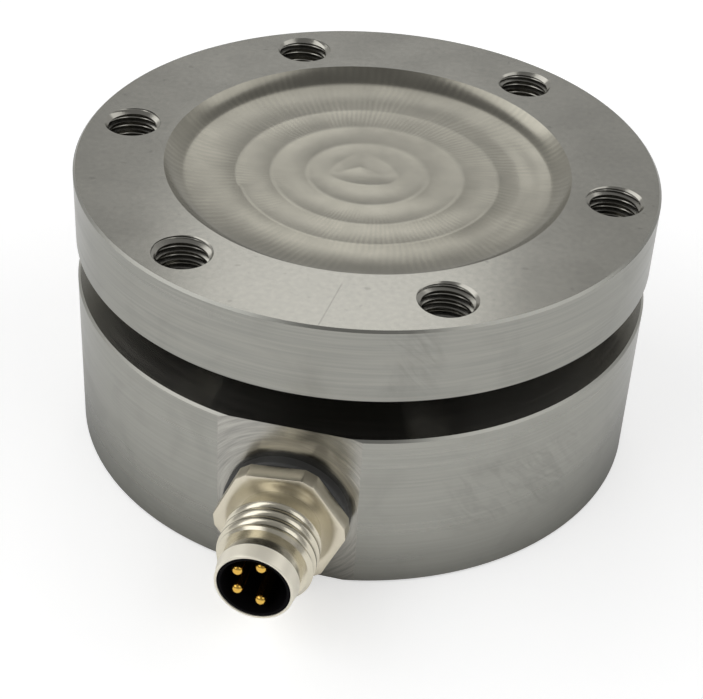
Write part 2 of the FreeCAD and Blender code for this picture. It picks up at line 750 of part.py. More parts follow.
# One file for each piece
PIECE_TYPES = ("PartDesign::Body", "Part::Feature", "Part::Torus", "Part::Box")
pieces = [item for item in doc.Objects if item.TypeId in PIECE_TYPES]
for piece in pieces:
    if piece.Shape.isNull() or not piece.Shape.isValid():
        raise ValueError(f"{piece.Label} has no valid shape")
os.makedirs("parts", exist_ok=True)
for piece in pieces:
    piece.Shape.exportStep(f"parts/{piece.Label}.step")
    print(f"{piece.Label}: {len(piece.Shape.Solids)} solid(s), {piece.Shape.Volume:.2f} mm3")
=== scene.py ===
import math

import bpy
from mathutils import Matrix, Vector


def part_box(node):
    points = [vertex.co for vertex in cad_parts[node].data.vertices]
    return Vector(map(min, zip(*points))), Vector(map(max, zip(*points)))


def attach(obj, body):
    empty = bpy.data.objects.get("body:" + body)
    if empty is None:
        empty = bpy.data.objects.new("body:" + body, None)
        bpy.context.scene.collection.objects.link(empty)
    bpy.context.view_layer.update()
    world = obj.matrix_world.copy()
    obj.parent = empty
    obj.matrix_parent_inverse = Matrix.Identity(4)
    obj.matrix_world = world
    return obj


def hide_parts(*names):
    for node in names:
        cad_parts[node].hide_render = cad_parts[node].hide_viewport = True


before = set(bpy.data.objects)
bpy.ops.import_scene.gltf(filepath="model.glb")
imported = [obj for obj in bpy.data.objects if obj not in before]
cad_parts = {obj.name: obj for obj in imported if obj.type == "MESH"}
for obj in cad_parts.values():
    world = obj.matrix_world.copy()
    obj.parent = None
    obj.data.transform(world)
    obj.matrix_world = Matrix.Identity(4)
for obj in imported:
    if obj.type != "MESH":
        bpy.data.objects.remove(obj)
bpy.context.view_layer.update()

# The pieces are drawn in millimetres and brought to the frame's metres when they are finished
MM = 0.001

# Sensing body, read from the frame where the frame gives it
BODY_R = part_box("sensing_body")[1].x / MM
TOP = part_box("sensing_body")[1].z / MM
FLANGE_THICKNESS = 6.75
GROOVE_GAP = 3.75
FLANGE_BOTTOM = TOP - FLANGE_THICKNESS
BASE_TOP = FLANGE_BOTTOM - GROOVE_GAP
NECK_R = 9.0
NECK_FILLET = 0.8
FILLET_STEPS = 12
EDGE_CHAMFER = 0.2
MEMBRANE_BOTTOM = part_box("strain_gauge_1")[1].z / MM
CAVITY_R = 15.0
BOARD_SCREW_R = 1.02
BOARD_SCREW_DEPTH = 4.5

# Recess in the top face, milled in round passes with a ball cutter
RECESS_R = 17.4
RECESS_DEPTH = 1.3
CUTTER_R = 8.75
PASS_PITCH = 3.05
PASS_STEPS = 12
OUTER_PASS_STEPS = 40
MIDDLE_STEPS = 36
RIDGE_SHARE = 0.5
COMB_MARKS = 150
COMB_LEAN = 1.5
COMB_WOBBLE = 9.0

# The outermost pass runs flatter than the others and curves up to the rim
WALL_RISE = 0.7
WALL_FOOT = 1.75

# Right of the middle the outermost pass leaves one more ridge
EXTRA_RIDGE_R = 14.1
EXTRA_RIDGE_HALF = 1.1
EXTRA_RIDGE_RISE = 0.035
EXTRA_RIDGE_ANGLE = math.radians(5)
EXTRA_RIDGE_REACH = math.radians(52)
EXTRA_RIDGE_FADE = 1.5

# The cutter's last pass goes round a small triangle beside the axis and leaves a three-sided pip
PIP_X = -0.86
PIP_Y = 0.91
PIP_REACH = 1.3
PIP_TURN = math.radians(-78.5)

# The pass beside the outermost one starts again with a small jog
JOG_ANGLE = math.radians(207.5)
JOG_SHIFT = -0.22
JOG_FADE = math.radians(14)
JOG_WIDTH = math.radians(2)

# One sector of the recess is rubbed down, so that its ridges fade
RUBBED_ANGLE = math.radians(68)
RUBBED_HALF = math.radians(92)
RUBBED_REST = 0.3
RUBBED_FADE = 1.4

# Scratch on the top face: its place on the X axis, its lean, where it fades and its half width
SCRATCH_X = 3.5
SCRATCH_LEAN = 0.06
SCRATCH_START = -19.0
SCRATCH_END = -18.5
SCRATCH_HALF = 0.06

# Tapped holes: M5 through the flange, M4 up into the base
BOLT_COUNT = 6
TAP_CHAMFER = 0.35
FLANGE_BOLT_R = BODY_R - 3.8
FLANGE_DRILL_R = 2.1
FLANGE_ROOT_R = 2.5
FLANGE_PITCH = 0.8
BASE_BOLT_R = BODY_R - 3.5
BASE_DRILL_R = 1.65
BASE_ROOT_R = 2.0
BASE_PITCH = 0.7
BASE_TAP_DEPTH = 8.0
DRILL_POINT = 1.0
TAP_START_TURN = 1.3
TAP_OPEN = 0.1
FLANK_SLOPE = math.tan(math.radians(30))

# Bottom cover and its screws
COVER_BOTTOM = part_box("bottom_cover")[0].z / MM
COVER_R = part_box("bottom_cover")[1].x / MM
COVER_SEAT = 1.8
COVER_SEAT_R = 18.1
SPIGOT_R = 14.9
SPIGOT_WALL = 2.0
SPIGOT_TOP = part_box("bottom_cover")[1].z / MM
SEAL_FLOOR_R = 14.0
SEAL_HEIGHT = 2.7
SEAL_HALF_SLOT = 0.55
SCREW_COUNT = 4
SCREW_FIRST = 45.0
SCREW_TURN = math.radians(20)
SCREW_CIRCLE_R = 16.55
SCREW_R = 0.8
SCREW_HEAD_R = 1.5
SCREW_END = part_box("cover_screws")[1].z / MM
SCREW_PLAY = 0.1
SCREW_EDGE = 0.08
SOCKET_ACROSS = 0.9
SOCKET_DEPTH = 0.6
SCREW_HOLE_R = 0.82
SCREW_HOLE_END = 4.9

# Flat on the base, and the connector's stations outwards from it along its own axis
FLAT_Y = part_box("connector_seal")[1].y / MM
CONNECTOR_Z = (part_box("connector_seal")[0].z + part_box("connector_seal")[1].z) / 2 / MM
BORE_R = 4.0
SHELL_BACK = FLAT_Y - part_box("connector_shell")[1].y / MM
RIM = FLAT_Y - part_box("connector_shell")[0].y / MM
SHELL_BORE_R = 2.76
SHELL_SPIGOT_R = 3.98
SEAL_FRONT = 1.0
SEAL_R = 5.25
SEAL_ROUND = 0.35
HEX_SIDES = 6
HEX_HALF_ACROSS = 5.0
HEX_CORNER_ACROSS = 5.46
HEX_BLANK_R = 5.9
HEX_TURN = math.radians(96)
HEX_FRONT = 2.5
HEX_EDGE = 0.06
HEX_FACE_AREA = 1.0
DISH_R = 4.5
DISH_DEPTH = 0.3
DISH_STEPS = 6
THREAD_ROOT_R = 3.45
THREAD_START = 3.5
THREAD_R = 4.0
THREAD_VALLEY_R = 3.75
THREAD_END = 6.75
THREAD_CHAMFER = 0.35
THREAD_PITCH = 1.0
THREAD_FIRST = math.radians(58)
THREAD_LEAD = 0.05
THREAD_OPEN = 0.03
THREAD_ROOT_SHARE = 0.14
THREAD_ROUND_SHARE = 0.2
LATCH_START = 7.1
LATCH_END = 8.35
LATCH_R = 3.24
LATCH_EDGE = 0.04
NOSE_R = 3.35
NOSE_TAPER = 0.15
NOSE_ROUND = 0.18
NOSE_STEPS = 5
MOUTH_R = 2.96
MOUTH_EDGE = 0.03
LIP_BACK = 8.85
LIP_FRONT = 9.65
LIP_R = 2.95
LIP_EDGE = 0.06
CARRIER_BACK = 0.65
CARRIER_R = 2.75
CUP_R = 2.65
CUP_FLOOR = 4.65

# Contact pins, two pairs on one circle
PIN_R = 0.5
PIN_DOME = 0.42
PIN_TIP = 9.4
PIN_BACK = -7.8
PIN_HOLE_R = 0.51
SOLDER_CUP_R = 0.35
SOLDER_CUP_DEPTH = 1.2
PIN_CIRCLE_R = 1.75
PIN_ANGLES = (75, -75, 146, -146)

# Smoothness of turned pieces, in steps round the axis
BODY_STEPS = 288
SHELL_STEPS = 144
HOLE_STEPS = 48
THREAD_STEPS = 96
SMALL_STEPS = 32

# How far a cutting tool stands out of the piece that it cuts
OVER = 1.0

# Angles in degrees up to which neighbouring faces shade as one
BODY_SMOOTH = 12
SHELL_SMOOTH = 35
PLAIN_SMOOTH = 30

# Width over which a patch of marks fades
PATCH_EDGE = 1.0

# Slack of the tests that sort faces by their place, and the share of a normal that counts as square
TOUCH = 0.001
NEAR = 0.01
SQUARE = 0.999

# The photograph's camera, solved from the body's circles
VIEW_TURN = math.radians(11.55)
CAMERA_BACK = 129.57
CAMERA_UP = 75.1
CAMERA_TARGET_Z = 25.46
TILT = math.radians(36.291)
PAN = math.radians(-0.217)
ROLL = math.radians(3.36)
LENS = 89.2

# Floor: its side in metres, its grey, its glow, where its mirror image fades into a painted shade, its reach
# under the object
FLOOR_SIZE = 4
FLOOR_TONE = 0.8
FLOOR_GLOW = 0.48
FLOOR_FADE = 7.0
FLOOR_OVERLAP = 0.2

# Strength of the world's light from low behind, from the camera's side and from overhead
WORLD_BACK = 0.62
WORLD_FRONT = 0.36
WORLD_HIGH = 0.3

# How far the lamps hang from the top face, in metres
LAMP_DISTANCE = 0.8


def clear_selection():
    """Leave edit mode and deselect every object."""
    if bpy.context.object and bpy.context.object.mode != "OBJECT":
        bpy.ops.object.mode_set(mode="OBJECT")
    bpy.ops.object.select_all(action="DESELECT")


def pick(piece):
    """Make a piece the only selected object and the active one."""
    clear_selection()
    piece.select_set(True)
    bpy.context.view_layer.objects.active = piece


def draw_chain(name, points):
    """Draw edges through pairs of radius and height, by pushing one vertex along."""
    clear_selection()
    bpy.ops.mesh.primitive_plane_add(size=1)
    piece = bpy.context.object
    piece.name = name
    piece.data.name = name
    bpy.ops.object.mode_set(mode="EDIT")
    bpy.ops.mesh.merge(type="CENTER")
    bpy.ops.transform.translate(value=(points[0][0], 0, points[0][1]))
    for start, finish in zip(points, points[1:]):
        step = (finish[0] - start[0], 0, finish[1] - start[1])
        bpy.ops.mesh.extrude_region_move(TRANSFORM_OT_translate={"value": step})
    bpy.ops.mesh.select_all(action="SELECT")
    return piece


def close_up():
    """Merge doubles and point all faces outwards, in edit mode, then leave it."""
    bpy.ops.mesh.select_all(action="SELECT")
    bpy.ops.mesh.remove_doubles()
    bpy.ops.mesh.normals_make_consistent(inside=False)
    bpy.ops.object.mode_set(mode="OBJECT")


def turn(name, outline, steps):
    """Turn an outline of radii and heights right round the Z axis."""
    piece = draw_chain(name, outline)
    bpy.ops.mesh.spin(steps=steps, angle=math.tau, center=(0, 0, 0), axis=(0, 0, 1))
    close_up()
    return piece


def arc(centre, radius, start, finish, steps):
    """Return points on an arc in degrees, both ends included."""
    angles = [math.radians(start + (finish - start) * step / steps) for step in range(steps + 1)]
    return [(centre[0] + radius * math.cos(angle), centre[1] + radius * math.sin(angle)) for angle in angles]


def apply_modifier(piece, kind, **settings):
    """Add a modifier with its settings and apply it."""
    pick(piece)
    modifier = piece.modifiers.new(kind, kind)
    for name, setting in settings.items():
        setattr(modifier, name, setting)
    bpy.ops.object.modifier_apply(modifier=modifier.name)


def cut(piece, tool):
    """Cut a tool's shape away from a piece and drop the tool."""
    apply_modifier(piece, "BOOLEAN", object=tool, operation="DIFFERENCE", solver="MANIFOLD")
    bpy.data.objects.remove(tool)


def place(piece, location=(0, 0, 0), rotation=(0, 0, 0)):
    """Turn and move a piece, with its place in its mesh."""
    pick(piece)
    piece.location = location
    piece.rotation_euler = rotation
    bpy.ops.object.transform_apply()


def set_on_flat(piece, sideways=0.0, upwards=0.0):
    """Point a piece's axis out of the flat, at the connector's place."""
    place(piece, (sideways, FLAT_Y, CONNECTOR_Z + upwards), (math.radians(90), 0, 0))


def ring_of_copies(tool, count, radius, first=0.0, own_turn=0.0):
    """Copy a piece round the Z axis, each copy with its own mesh and its own turn, and drop the first one."""
    copies = []
    for number in range(count):
        angle = math.radians(first) + math.tau * number / count
        copy = tool.copy()
        copy.data = tool.data.copy()
        bpy.context.collection.objects.link(copy)
        place(copy, (radius * math.cos(angle), radius * math.sin(angle), 0), (0, 0, own_turn * number))
        copies.append(copy)
    bpy.data.objects.remove(tool)
    return copies


def join(pieces):
    """Join objects into the first of them."""
    pick(pieces[0])
    for piece in pieces:
        piece.select_set(True)
    bpy.ops.object.join()
    return pieces[0]


def thread_cutter(name, pitch, root_r, open_r, low, high, steps, root_half=0.05, rounding=0.08):
    """Make the winding groove of a thread between two heights, deepest at the root radius.

    The half width of the root and its rounding are shares of the pitch.
    """
    root_half = root_half * pitch
    rounding = rounding * pitch
    flank_r = root_r + math.copysign(rounding * FLANK_SLOPE, open_r - root_r)
    flank_half = root_half + rounding
    open_half = flank_half + abs(open_r - flank_r) * FLANK_SLOPE
    section = [
        (root_r, low - root_half),
        (flank_r, low - flank_half),
        (open_r, low - open_half),
        (open_r, low + open_half),
        (flank_r, low + flank_half),
        (root_r, low + root_half),
        (root_r, low - root_half),
    ]
    cutter = draw_chain(name, section)
    bpy.ops.mesh.remove_doubles()
    bpy.ops.object.mode_set(mode="OBJECT")
    turns = round((high - low) / pitch)
    apply_modifier(cutter, "SCREW", screw_offset=pitch, iterations=turns, steps=steps, render_steps=steps)
    bpy.ops.object.mode_set(mode="EDIT")
    bpy.ops.mesh.select_all(action="SELECT")
    bpy.ops.mesh.fill_holes(sides=len(section))
    close_up()
    return cutter


def drill(name, radius, low, high, steps=HOLE_STEPS):
    """Make a plain round cutting tool between two heights."""
    return turn(name, [(0, low), (radius, low), (radius, high), (0, high)], steps)


def finish_piece(piece, node, slot, smooth_angle, *finishes):
    """Bring a piece to metres, give it its finishes and let it stand for its solid.

    Each finish is a material with a test of a face's centre and normal, in millimetres. The last test that
    holds for a face gives its material.
    """
    piece.data.materials.clear()
    for index, (material, covers) in enumerate(finishes):
        piece.data.materials.append(material)
        for face in piece.data.polygons:
            if covers(face.center, face.normal):
                face.material_index = index
    pick(piece)
    bpy.ops.transform.resize(value=(MM, MM, MM), center_override=(0, 0, 0))
    bpy.ops.object.transform_apply()
    bpy.ops.object.shade_smooth_by_angle(angle=math.radians(smooth_angle))
    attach(piece, "root")
    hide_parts(node)


def all_over(centre, normal):
    """The test of a finish that covers a whole piece."""
    return True


def pass_centres():
    """Return the radii of the cutter's round passes, from the outermost inwards."""
    reach = math.sqrt(2 * CUTTER_R * RECESS_DEPTH - RECESS_DEPTH ** 2)
    outermost = RECESS_R - reach
    count = math.ceil(outermost / PASS_PITCH - 0.5)
    return [outermost - number * PASS_PITCH for number in range(count)]


def recess_outline():
    """Return the recess's outline from the axis outwards, with points on each ridge between passes."""
    centres = pass_centres()
    bounds = [0, centres[-1]] + [centre + PASS_PITCH / 2 for centre in reversed(centres[1:])] + [RECESS_R]
    counts = [MIDDLE_STEPS, PASS_STEPS // 2] + [PASS_STEPS] * (len(centres) - 2) + [OUTER_PASS_STEPS]
    points = []
    for inner, outer, steps in zip(bounds, bounds[1:], counts):
        points += [(inner + (outer - inner) * step / steps, TOP - RECESS_DEPTH) for step in range(steps)]
    return points + [(RECESS_R, TOP)]


def from_triangle(x, y):
    """Return the distance to the small triangle of the cutter's last pass."""
    corners = []
    for number in range(3):
        angle = PIP_TURN + math.radians(60 + 120 * number)
        corner_x = PIP_X + 2 * PIP_REACH * math.cos(angle)
        corner_y = PIP_Y + 2 * PIP_REACH * math.sin(angle)
        corners.append(Vector((corner_x, corner_y)))
    point = Vector((x, y))
    distances = []
    for start, finish in zip(corners, corners[1:] + corners[:1]):
        along = finish - start
        share = min(max((point - start).dot(along) / along.length_squared, 0), 1)
        distances.append((point - start - share * along).length)
    return min(distances)


def soft_step(value):
    """Rise smoothly from 0 to 1 as a value does."""
    value = min(max(value, 0), 1)
    return value * value * (3 - 2 * value)


def mill_recess(body):
    """Sink the recess as the cutter's passes leave it: ridges, a pip, a jog and a rubbed sector."""
    centres = pass_centres()
    jog_r = centres[0] - PASS_PITCH / 2
    for vertex in body.data.vertices:
        radius = math.hypot(vertex.co.x, vertex.co.y)
        if radius > RECESS_R - NEAR or vertex.co.z < TOP - 2 * RECESS_DEPTH:
            continue
        away = min(abs(radius - centre) for centre in centres)
        if radius < centres[-1]:
            away = min(away, from_triangle(vertex.co.x, vertex.co.y))
        sag = CUTTER_R - math.sqrt(CUTTER_R ** 2 - away ** 2)
        angle = math.atan2(vertex.co.y, vertex.co.x)
        if radius < centres[0]:
            off = abs(math.remainder(angle - RUBBED_ANGLE, math.tau))
            sag *= RIDGE_SHARE * (1 - (1 - RUBBED_REST) * soft_step(RUBBED_FADE * (1 - off / RUBBED_HALF)))
        else:
            into_wall = max(1 - (RECESS_R - radius) / WALL_FOOT, 0)
            sag = sag * (1 - WALL_RISE / RECESS_DEPTH) + WALL_RISE * into_wall ** 2
            beside = soft_step(1 - abs(radius - EXTRA_RIDGE_R) / EXTRA_RIDGE_HALF)
            off = abs(math.remainder(angle - EXTRA_RIDGE_ANGLE, math.tau))
            round_to = soft_step(EXTRA_RIDGE_FADE * (1 - off / EXTRA_RIDGE_REACH))
            sag += EXTRA_RIDGE_RISE * beside * round_to
        vertex.co.z = TOP - RECESS_DEPTH + sag
        past = math.remainder(angle - JOG_ANGLE, math.tau)
        near = max(1 - abs(radius - jog_r) / PASS_PITCH, 0)
        shift = JOG_SHIFT * near * soft_step(past / JOG_WIDTH) * math.exp(-max(past, 0) / JOG_FADE)
        if radius:
            vertex.co.x *= 1 + shift / radius
            vertex.co.y *= 1 + shift / radius


def make_body():
    """The sensing body: turned, dished, tapped, and flattened for the connector."""
    upper_root = arc((NECK_R + NECK_FILLET, FLANGE_BOTTOM - NECK_FILLET), NECK_FILLET, 90, 180, FILLET_STEPS)
    lower_root = arc((NECK_R + NECK_FILLET, BASE_TOP + NECK_FILLET), NECK_FILLET, 180, 270, FILLET_STEPS)
    outline = recess_outline() + [
        (BODY_R - EDGE_CHAMFER, TOP),
        (BODY_R, TOP - EDGE_CHAMFER),
        (BODY_R, FLANGE_BOTTOM + EDGE_CHAMFER),
        (BODY_R - EDGE_CHAMFER, FLANGE_BOTTOM),
        *upper_root,
        *lower_root,
        (BODY_R - EDGE_CHAMFER, BASE_TOP),
        (BODY_R, BASE_TOP - EDGE_CHAMFER),
        (BODY_R, EDGE_CHAMFER),
        (BODY_R - EDGE_CHAMFER, 0),
        (COVER_SEAT_R, 0),
        (COVER_SEAT_R, COVER_SEAT),
        (CAVITY_R, COVER_SEAT),
        (CAVITY_R, MEMBRANE_BOTTOM),
        (0, MEMBRANE_BOTTOM),
    ]
    body = turn("sensing_body_machined", outline, BODY_STEPS)
    mill_recess(body)

    clear_selection()
    bpy.ops.mesh.primitive_cube_add(size=1)
    slab = bpy.context.object
    slab.dimensions = (2 * BODY_R, BODY_R, BASE_TOP + GROOVE_GAP)
    place(slab, (0, FLAT_Y - BODY_R / 2, BASE_TOP / 2))
    cut(body, slab)

    bore = drill("connector_bore", BORE_R, -BODY_R / 2, OVER, SHELL_STEPS)
    set_on_flat(bore)
    cut(body, bore)

    flange_drill = turn("flange_drill", [
        (0, TOP + OVER),
        (FLANGE_DRILL_R + TAP_CHAMFER + OVER, TOP + OVER),
        (FLANGE_DRILL_R, TOP - TAP_CHAMFER),
        (FLANGE_DRILL_R, FLANGE_BOTTOM - OVER),
        (0, FLANGE_BOTTOM - OVER),
    ], HOLE_STEPS)
    base_drill = turn("base_drill", [
        (0, -OVER),
        (BASE_DRILL_R + TAP_CHAMFER + OVER, -OVER),
        (BASE_DRILL_R, TAP_CHAMFER),
        (BASE_DRILL_R, BASE_TAP_DEPTH),
        (0, BASE_TAP_DEPTH + DRILL_POINT),
    ], HOLE_STEPS)
    flange_tap = thread_cutter("flange_tap", FLANGE_PITCH, FLANGE_ROOT_R, FLANGE_DRILL_R - TAP_OPEN,
                               FLANGE_BOTTOM - OVER, TOP + OVER, HOLE_STEPS)
    base_tap = thread_cutter("base_tap", BASE_PITCH, BASE_ROOT_R, BASE_DRILL_R - TAP_OPEN,
                             -OVER, BASE_TAP_DEPTH - OVER, HOLE_STEPS)
    cover_hole = drill("cover_screw_hole", SCREW_HOLE_R, COVER_SEAT - OVER, SCREW_HOLE_END, SMALL_STEPS)
    rings = [
        ring_of_copies(flange_drill, BOLT_COUNT, FLANGE_BOLT_R),
        ring_of_copies(flange_tap, BOLT_COUNT, FLANGE_BOLT_R, own_turn=TAP_START_TURN),
        ring_of_copies(base_drill, BOLT_COUNT, BASE_BOLT_R),
        ring_of_copies(base_tap, BOLT_COUNT, BASE_BOLT_R, own_turn=TAP_START_TURN),
        ring_of_copies(cover_hole, SCREW_COUNT, SCREW_CIRCLE_R, SCREW_FIRST),
    ]
    for ring in rings:
        cut(body, join(ring))
    board_hole_end = MEMBRANE_BOTTOM + BOARD_SCREW_DEPTH
    cut(body, drill("board_screw_hole", BOARD_SCREW_R, MEMBRANE_BOTTOM - OVER, board_hole_end, SMALL_STEPS))
    return body


def make_connector_shell():
    """The connector's shell: turned, its hexagon milled and its thread cut."""
    dish = []
    for step in range(DISH_STEPS + 1):
        share = step / DISH_STEPS
        radius = DISH_R + (THREAD_ROOT_R - DISH_R) * share
        dish.append((radius, HEX_FRONT - DISH_DEPTH * math.sin(share * math.pi / 2)))
    shell = turn("connector_shell_turned", [
        (SHELL_BORE_R, SHELL_BACK),
        (SHELL_SPIGOT_R, SHELL_BACK),
        (SHELL_SPIGOT_R, SEAL_FRONT),
        (HEX_BLANK_R, SEAL_FRONT),
        (HEX_BLANK_R, HEX_FRONT),
        *dish,
        (THREAD_ROOT_R, THREAD_START),
        (THREAD_R, THREAD_START + THREAD_R - THREAD_ROOT_R),
        (THREAD_R, THREAD_END),
        (THREAD_R - THREAD_CHAMFER, LATCH_START),
        (LATCH_R, LATCH_START),
        (LATCH_R, LATCH_END),
        (NOSE_R - LATCH_EDGE, LATCH_END),
        (NOSE_R, LATCH_END + LATCH_EDGE),
        *arc((NOSE_R - NOSE_TAPER - NOSE_ROUND, RIM - NOSE_ROUND), NOSE_ROUND, 0, 75, NOSE_STEPS),
        (MOUTH_R + MOUTH_EDGE, RIM),
        (MOUTH_R, RIM - MOUTH_EDGE),
        (MOUTH_R, LIP_BACK),
        (SHELL_BORE_R, LIP_BACK),
        (SHELL_BORE_R, SHELL_BACK),
    ], SHELL_STEPS)

    pick(shell)
    bpy.ops.object.mode_set(mode="EDIT")
    for side in range(2 * HEX_SIDES):
        angle = HEX_TURN + math.tau * side / (2 * HEX_SIDES)
        outwards = Vector((math.cos(angle), math.sin(angle), 0))
        across = HEX_CORNER_ACROSS if side % 2 else HEX_HALF_ACROSS
        bpy.ops.mesh.select_all(action="SELECT")
        bpy.ops.mesh.bisect(plane_co=across * outwards, plane_no=outwards, use_fill=True, clear_outer=True)
    bpy.ops.object.mode_set(mode="OBJECT")
    flats = [face for face in shell.data.polygons if abs(face.normal.z) < NEAR and face.area > HEX_FACE_AREA]
    rims = {key for face in flats for key in face.edge_keys}
    for edge in shell.data.edges:
        edge.select = edge.key in rims
    for vertex in shell.data.vertices:
        vertex.select = False
    for face in shell.data.polygons:
        face.select = False
    bpy.ops.object.mode_set(mode="EDIT")
    bpy.ops.mesh.select_mode(type="EDGE")
    bpy.ops.mesh.bevel(offset=HEX_EDGE, segments=2)
    bpy.ops.mesh.select_mode(type="VERT")
    close_up()

    # The thread's valleys are shallow and round
    thread = thread_cutter("shell_thread", THREAD_PITCH, THREAD_VALLEY_R, THREAD_R + THREAD_OPEN,
                           THREAD_START - THREAD_LEAD, THREAD_END + THREAD_PITCH, THREAD_STEPS,
                           THREAD_ROOT_SHARE, THREAD_ROUND_SHARE)
    place(thread, rotation=(0, 0, THREAD_FIRST))
    cut(shell, thread)
    set_on_flat(shell)
    return shell


def make_connector_seal():
    """The ring of rubber that the hexagon presses on the flat."""
    seal = turn("connector_seal_moulded", [
        (BORE_R, 0),
        (SEAL_R, 0),
        *arc((SEAL_R - SEAL_ROUND, SEAL_FRONT - SEAL_ROUND), SEAL_ROUND, 0, 90, FILLET_STEPS // 2),
        (BORE_R, SEAL_FRONT),
        (BORE_R, 0),
    ], SHELL_STEPS)
    set_on_flat(seal)
    return seal


def pin_places():
    """Return each pin's place across the connector, sideways and upwards."""
    return [(PIN_CIRCLE_R * math.cos(math.radians(angle)), PIN_CIRCLE_R * math.sin(math.radians(angle)))
            for angle in PIN_ANGLES]


def make_contact_carrier():
    """The black cup that holds the pins."""
    carrier = turn("contact_carrier_moulded", [
        (0, CARRIER_BACK),
        (CARRIER_R, CARRIER_BACK),
        (CARRIER_R, LIP_BACK),
        (LIP_R, LIP_BACK),
        (LIP_R, LIP_FRONT - LIP_EDGE),
        (LIP_R - LIP_EDGE, LIP_FRONT),
        (CUP_R + LIP_EDGE, LIP_FRONT),
        (CUP_R, LIP_FRONT - LIP_EDGE),
        (CUP_R, CUP_FLOOR),
        (0, CUP_FLOOR),
    ], SHELL_STEPS)
    for sideways, upwards in pin_places():
        hole = drill("pin_hole", PIN_HOLE_R, CARRIER_BACK - OVER, CUP_FLOOR + OVER, SMALL_STEPS)
        place(hole, (sideways, upwards, 0))
        cut(carrier, hole)
    set_on_flat(carrier)
    return carrier


def make_contact_pin(number, sideways, upwards):
    """One contact pin, with a domed tip and a cup for solder at its back."""
    pin = turn(f"contact_pin_{number}_turned", [
        (0, PIN_BACK + SOLDER_CUP_DEPTH),
        (SOLDER_CUP_R, PIN_BACK + SOLDER_CUP_DEPTH),
        (SOLDER_CUP_R, PIN_BACK),
        (PIN_R, PIN_BACK),
        *arc((PIN_R - PIN_DOME, PIN_TIP - PIN_DOME), PIN_DOME, 0, 90, FILLET_STEPS),
        (0, PIN_TIP),
    ], SMALL_STEPS)
    set_on_flat(pin, sideways, upwards)
    return pin


def make_bottom_cover():
    """The cover over the hollow underneath, with a slot for its seal and countersunk holes."""
    cover = turn("bottom_cover_turned", [
        (0, COVER_BOTTOM),
        (COVER_R - SCREW_EDGE, COVER_BOTTOM),
        (COVER_R, COVER_BOTTOM + SCREW_EDGE),
        (COVER_R, COVER_SEAT),
        (SPIGOT_R, COVER_SEAT),
        (SPIGOT_R, SEAL_HEIGHT - SEAL_HALF_SLOT),
        (SEAL_FLOOR_R, SEAL_HEIGHT - SEAL_HALF_SLOT),
        (SEAL_FLOOR_R, SEAL_HEIGHT + SEAL_HALF_SLOT),
        (SPIGOT_R, SEAL_HEIGHT + SEAL_HALF_SLOT),
        (SPIGOT_R, SPIGOT_TOP),
        (SPIGOT_R - SPIGOT_WALL, SPIGOT_TOP),
        (SPIGOT_R - SPIGOT_WALL, COVER_SEAT),
        (0, COVER_SEAT),
    ], BODY_STEPS)
    hole_r = SCREW_R + SCREW_PLAY
    sink = turn("cover_sink", [
        (0, COVER_BOTTOM - OVER),
        (SCREW_HEAD_R + OVER, COVER_BOTTOM - OVER),
        (hole_r, COVER_BOTTOM + SCREW_HEAD_R - hole_r),
        (hole_r, COVER_SEAT + OVER),
        (0, COVER_SEAT + OVER),
    ], HOLE_STEPS)
    cut(cover, join(ring_of_copies(sink, SCREW_COUNT, SCREW_CIRCLE_R, SCREW_FIRST)))
    return cover


def make_cover_screws():
    """Countersunk screws with a hexagon socket, one in each hole of the cover."""
    screw = turn("cover_screw", [
        (0, COVER_BOTTOM),
        (SCREW_HEAD_R - SCREW_EDGE, COVER_BOTTOM),
        (SCREW_HEAD_R - SCREW_EDGE / 2, COVER_BOTTOM + SCREW_EDGE / 2),
        (SCREW_R, COVER_BOTTOM + SCREW_HEAD_R - SCREW_R),
        (SCREW_R, SCREW_END - 2 * SCREW_EDGE),
        (SCREW_R - 2 * SCREW_EDGE, SCREW_END),
        (0, SCREW_END),
    ], HOLE_STEPS)
    socket_r = SOCKET_ACROSS / math.sqrt(3)
    socket = drill("screw_socket", socket_r, COVER_BOTTOM - OVER, COVER_BOTTOM + SOCKET_DEPTH, HEX_SIDES)
    cut(screw, socket)
    screws = ring_of_copies(screw, SCREW_COUNT, SCREW_CIRCLE_R, SCREW_FIRST, SCREW_TURN)
    for number, piece in enumerate(screws, start=1):
        piece.name = f"cover_screw_{number}"
    return screws


def linear(colour):
    """Turn an sRGB hex colour to linear values, with full cover."""
    channels = [int(colour[start:start + 2], 16) / 255 for start in (1, 3, 5)]
    return [part / 12.92 if part <= 0.04045 else ((part + 0.055) / 1.055) ** 2.4 for part in channels] + [1]


def add(tree, kind, inputs=(), **settings):
    """Add a node with its settings, and give inputs, by name or number, a link or a value.

    A MapRange node's inputs 0 to 4 are the value, the two ends it comes from and the two it goes to.
    """
    node = tree.nodes.new("ShaderNode" + kind)
    for name, setting in settings.items():
        setattr(node, name, setting)
    for key, given in dict(inputs).items():
        if isinstance(given, bpy.types.NodeSocket):
            tree.links.new(given, node.inputs[key])
        else:
            node.inputs[key].default_value = given
    return node.outputs


def start_material(name, **values):
    """Start a material and set what is the same all over it on the shader's own sockets."""
    material = bpy.data.materials.new(name)
    material.use_nodes = True
    tree = material.node_tree
    shader = tree.nodes["Principled BSDF"]
    for key, given in values.items():
        shader.inputs[key.replace("_", " ")].default_value = given
    return material, tree, shader, add(tree, "TexCoord")["Object"]


def round_axis(tree, vector):
    """Give the distance from the Z axis, the way out from it as a unit vector, and the height."""
    parts = add(tree, "SeparateXYZ", {"Vector": vector})
    level = add(tree, "CombineXYZ", {"X": parts["X"], "Y": parts["Y"]})["Vector"]
    radius = add(tree, "VectorMath", {0: level}, operation="LENGTH")["Value"]
    way = add(tree, "VectorMath", {0: level}, operation="NORMALIZE")["Vector"]
    return radius, way, parts["Z"]


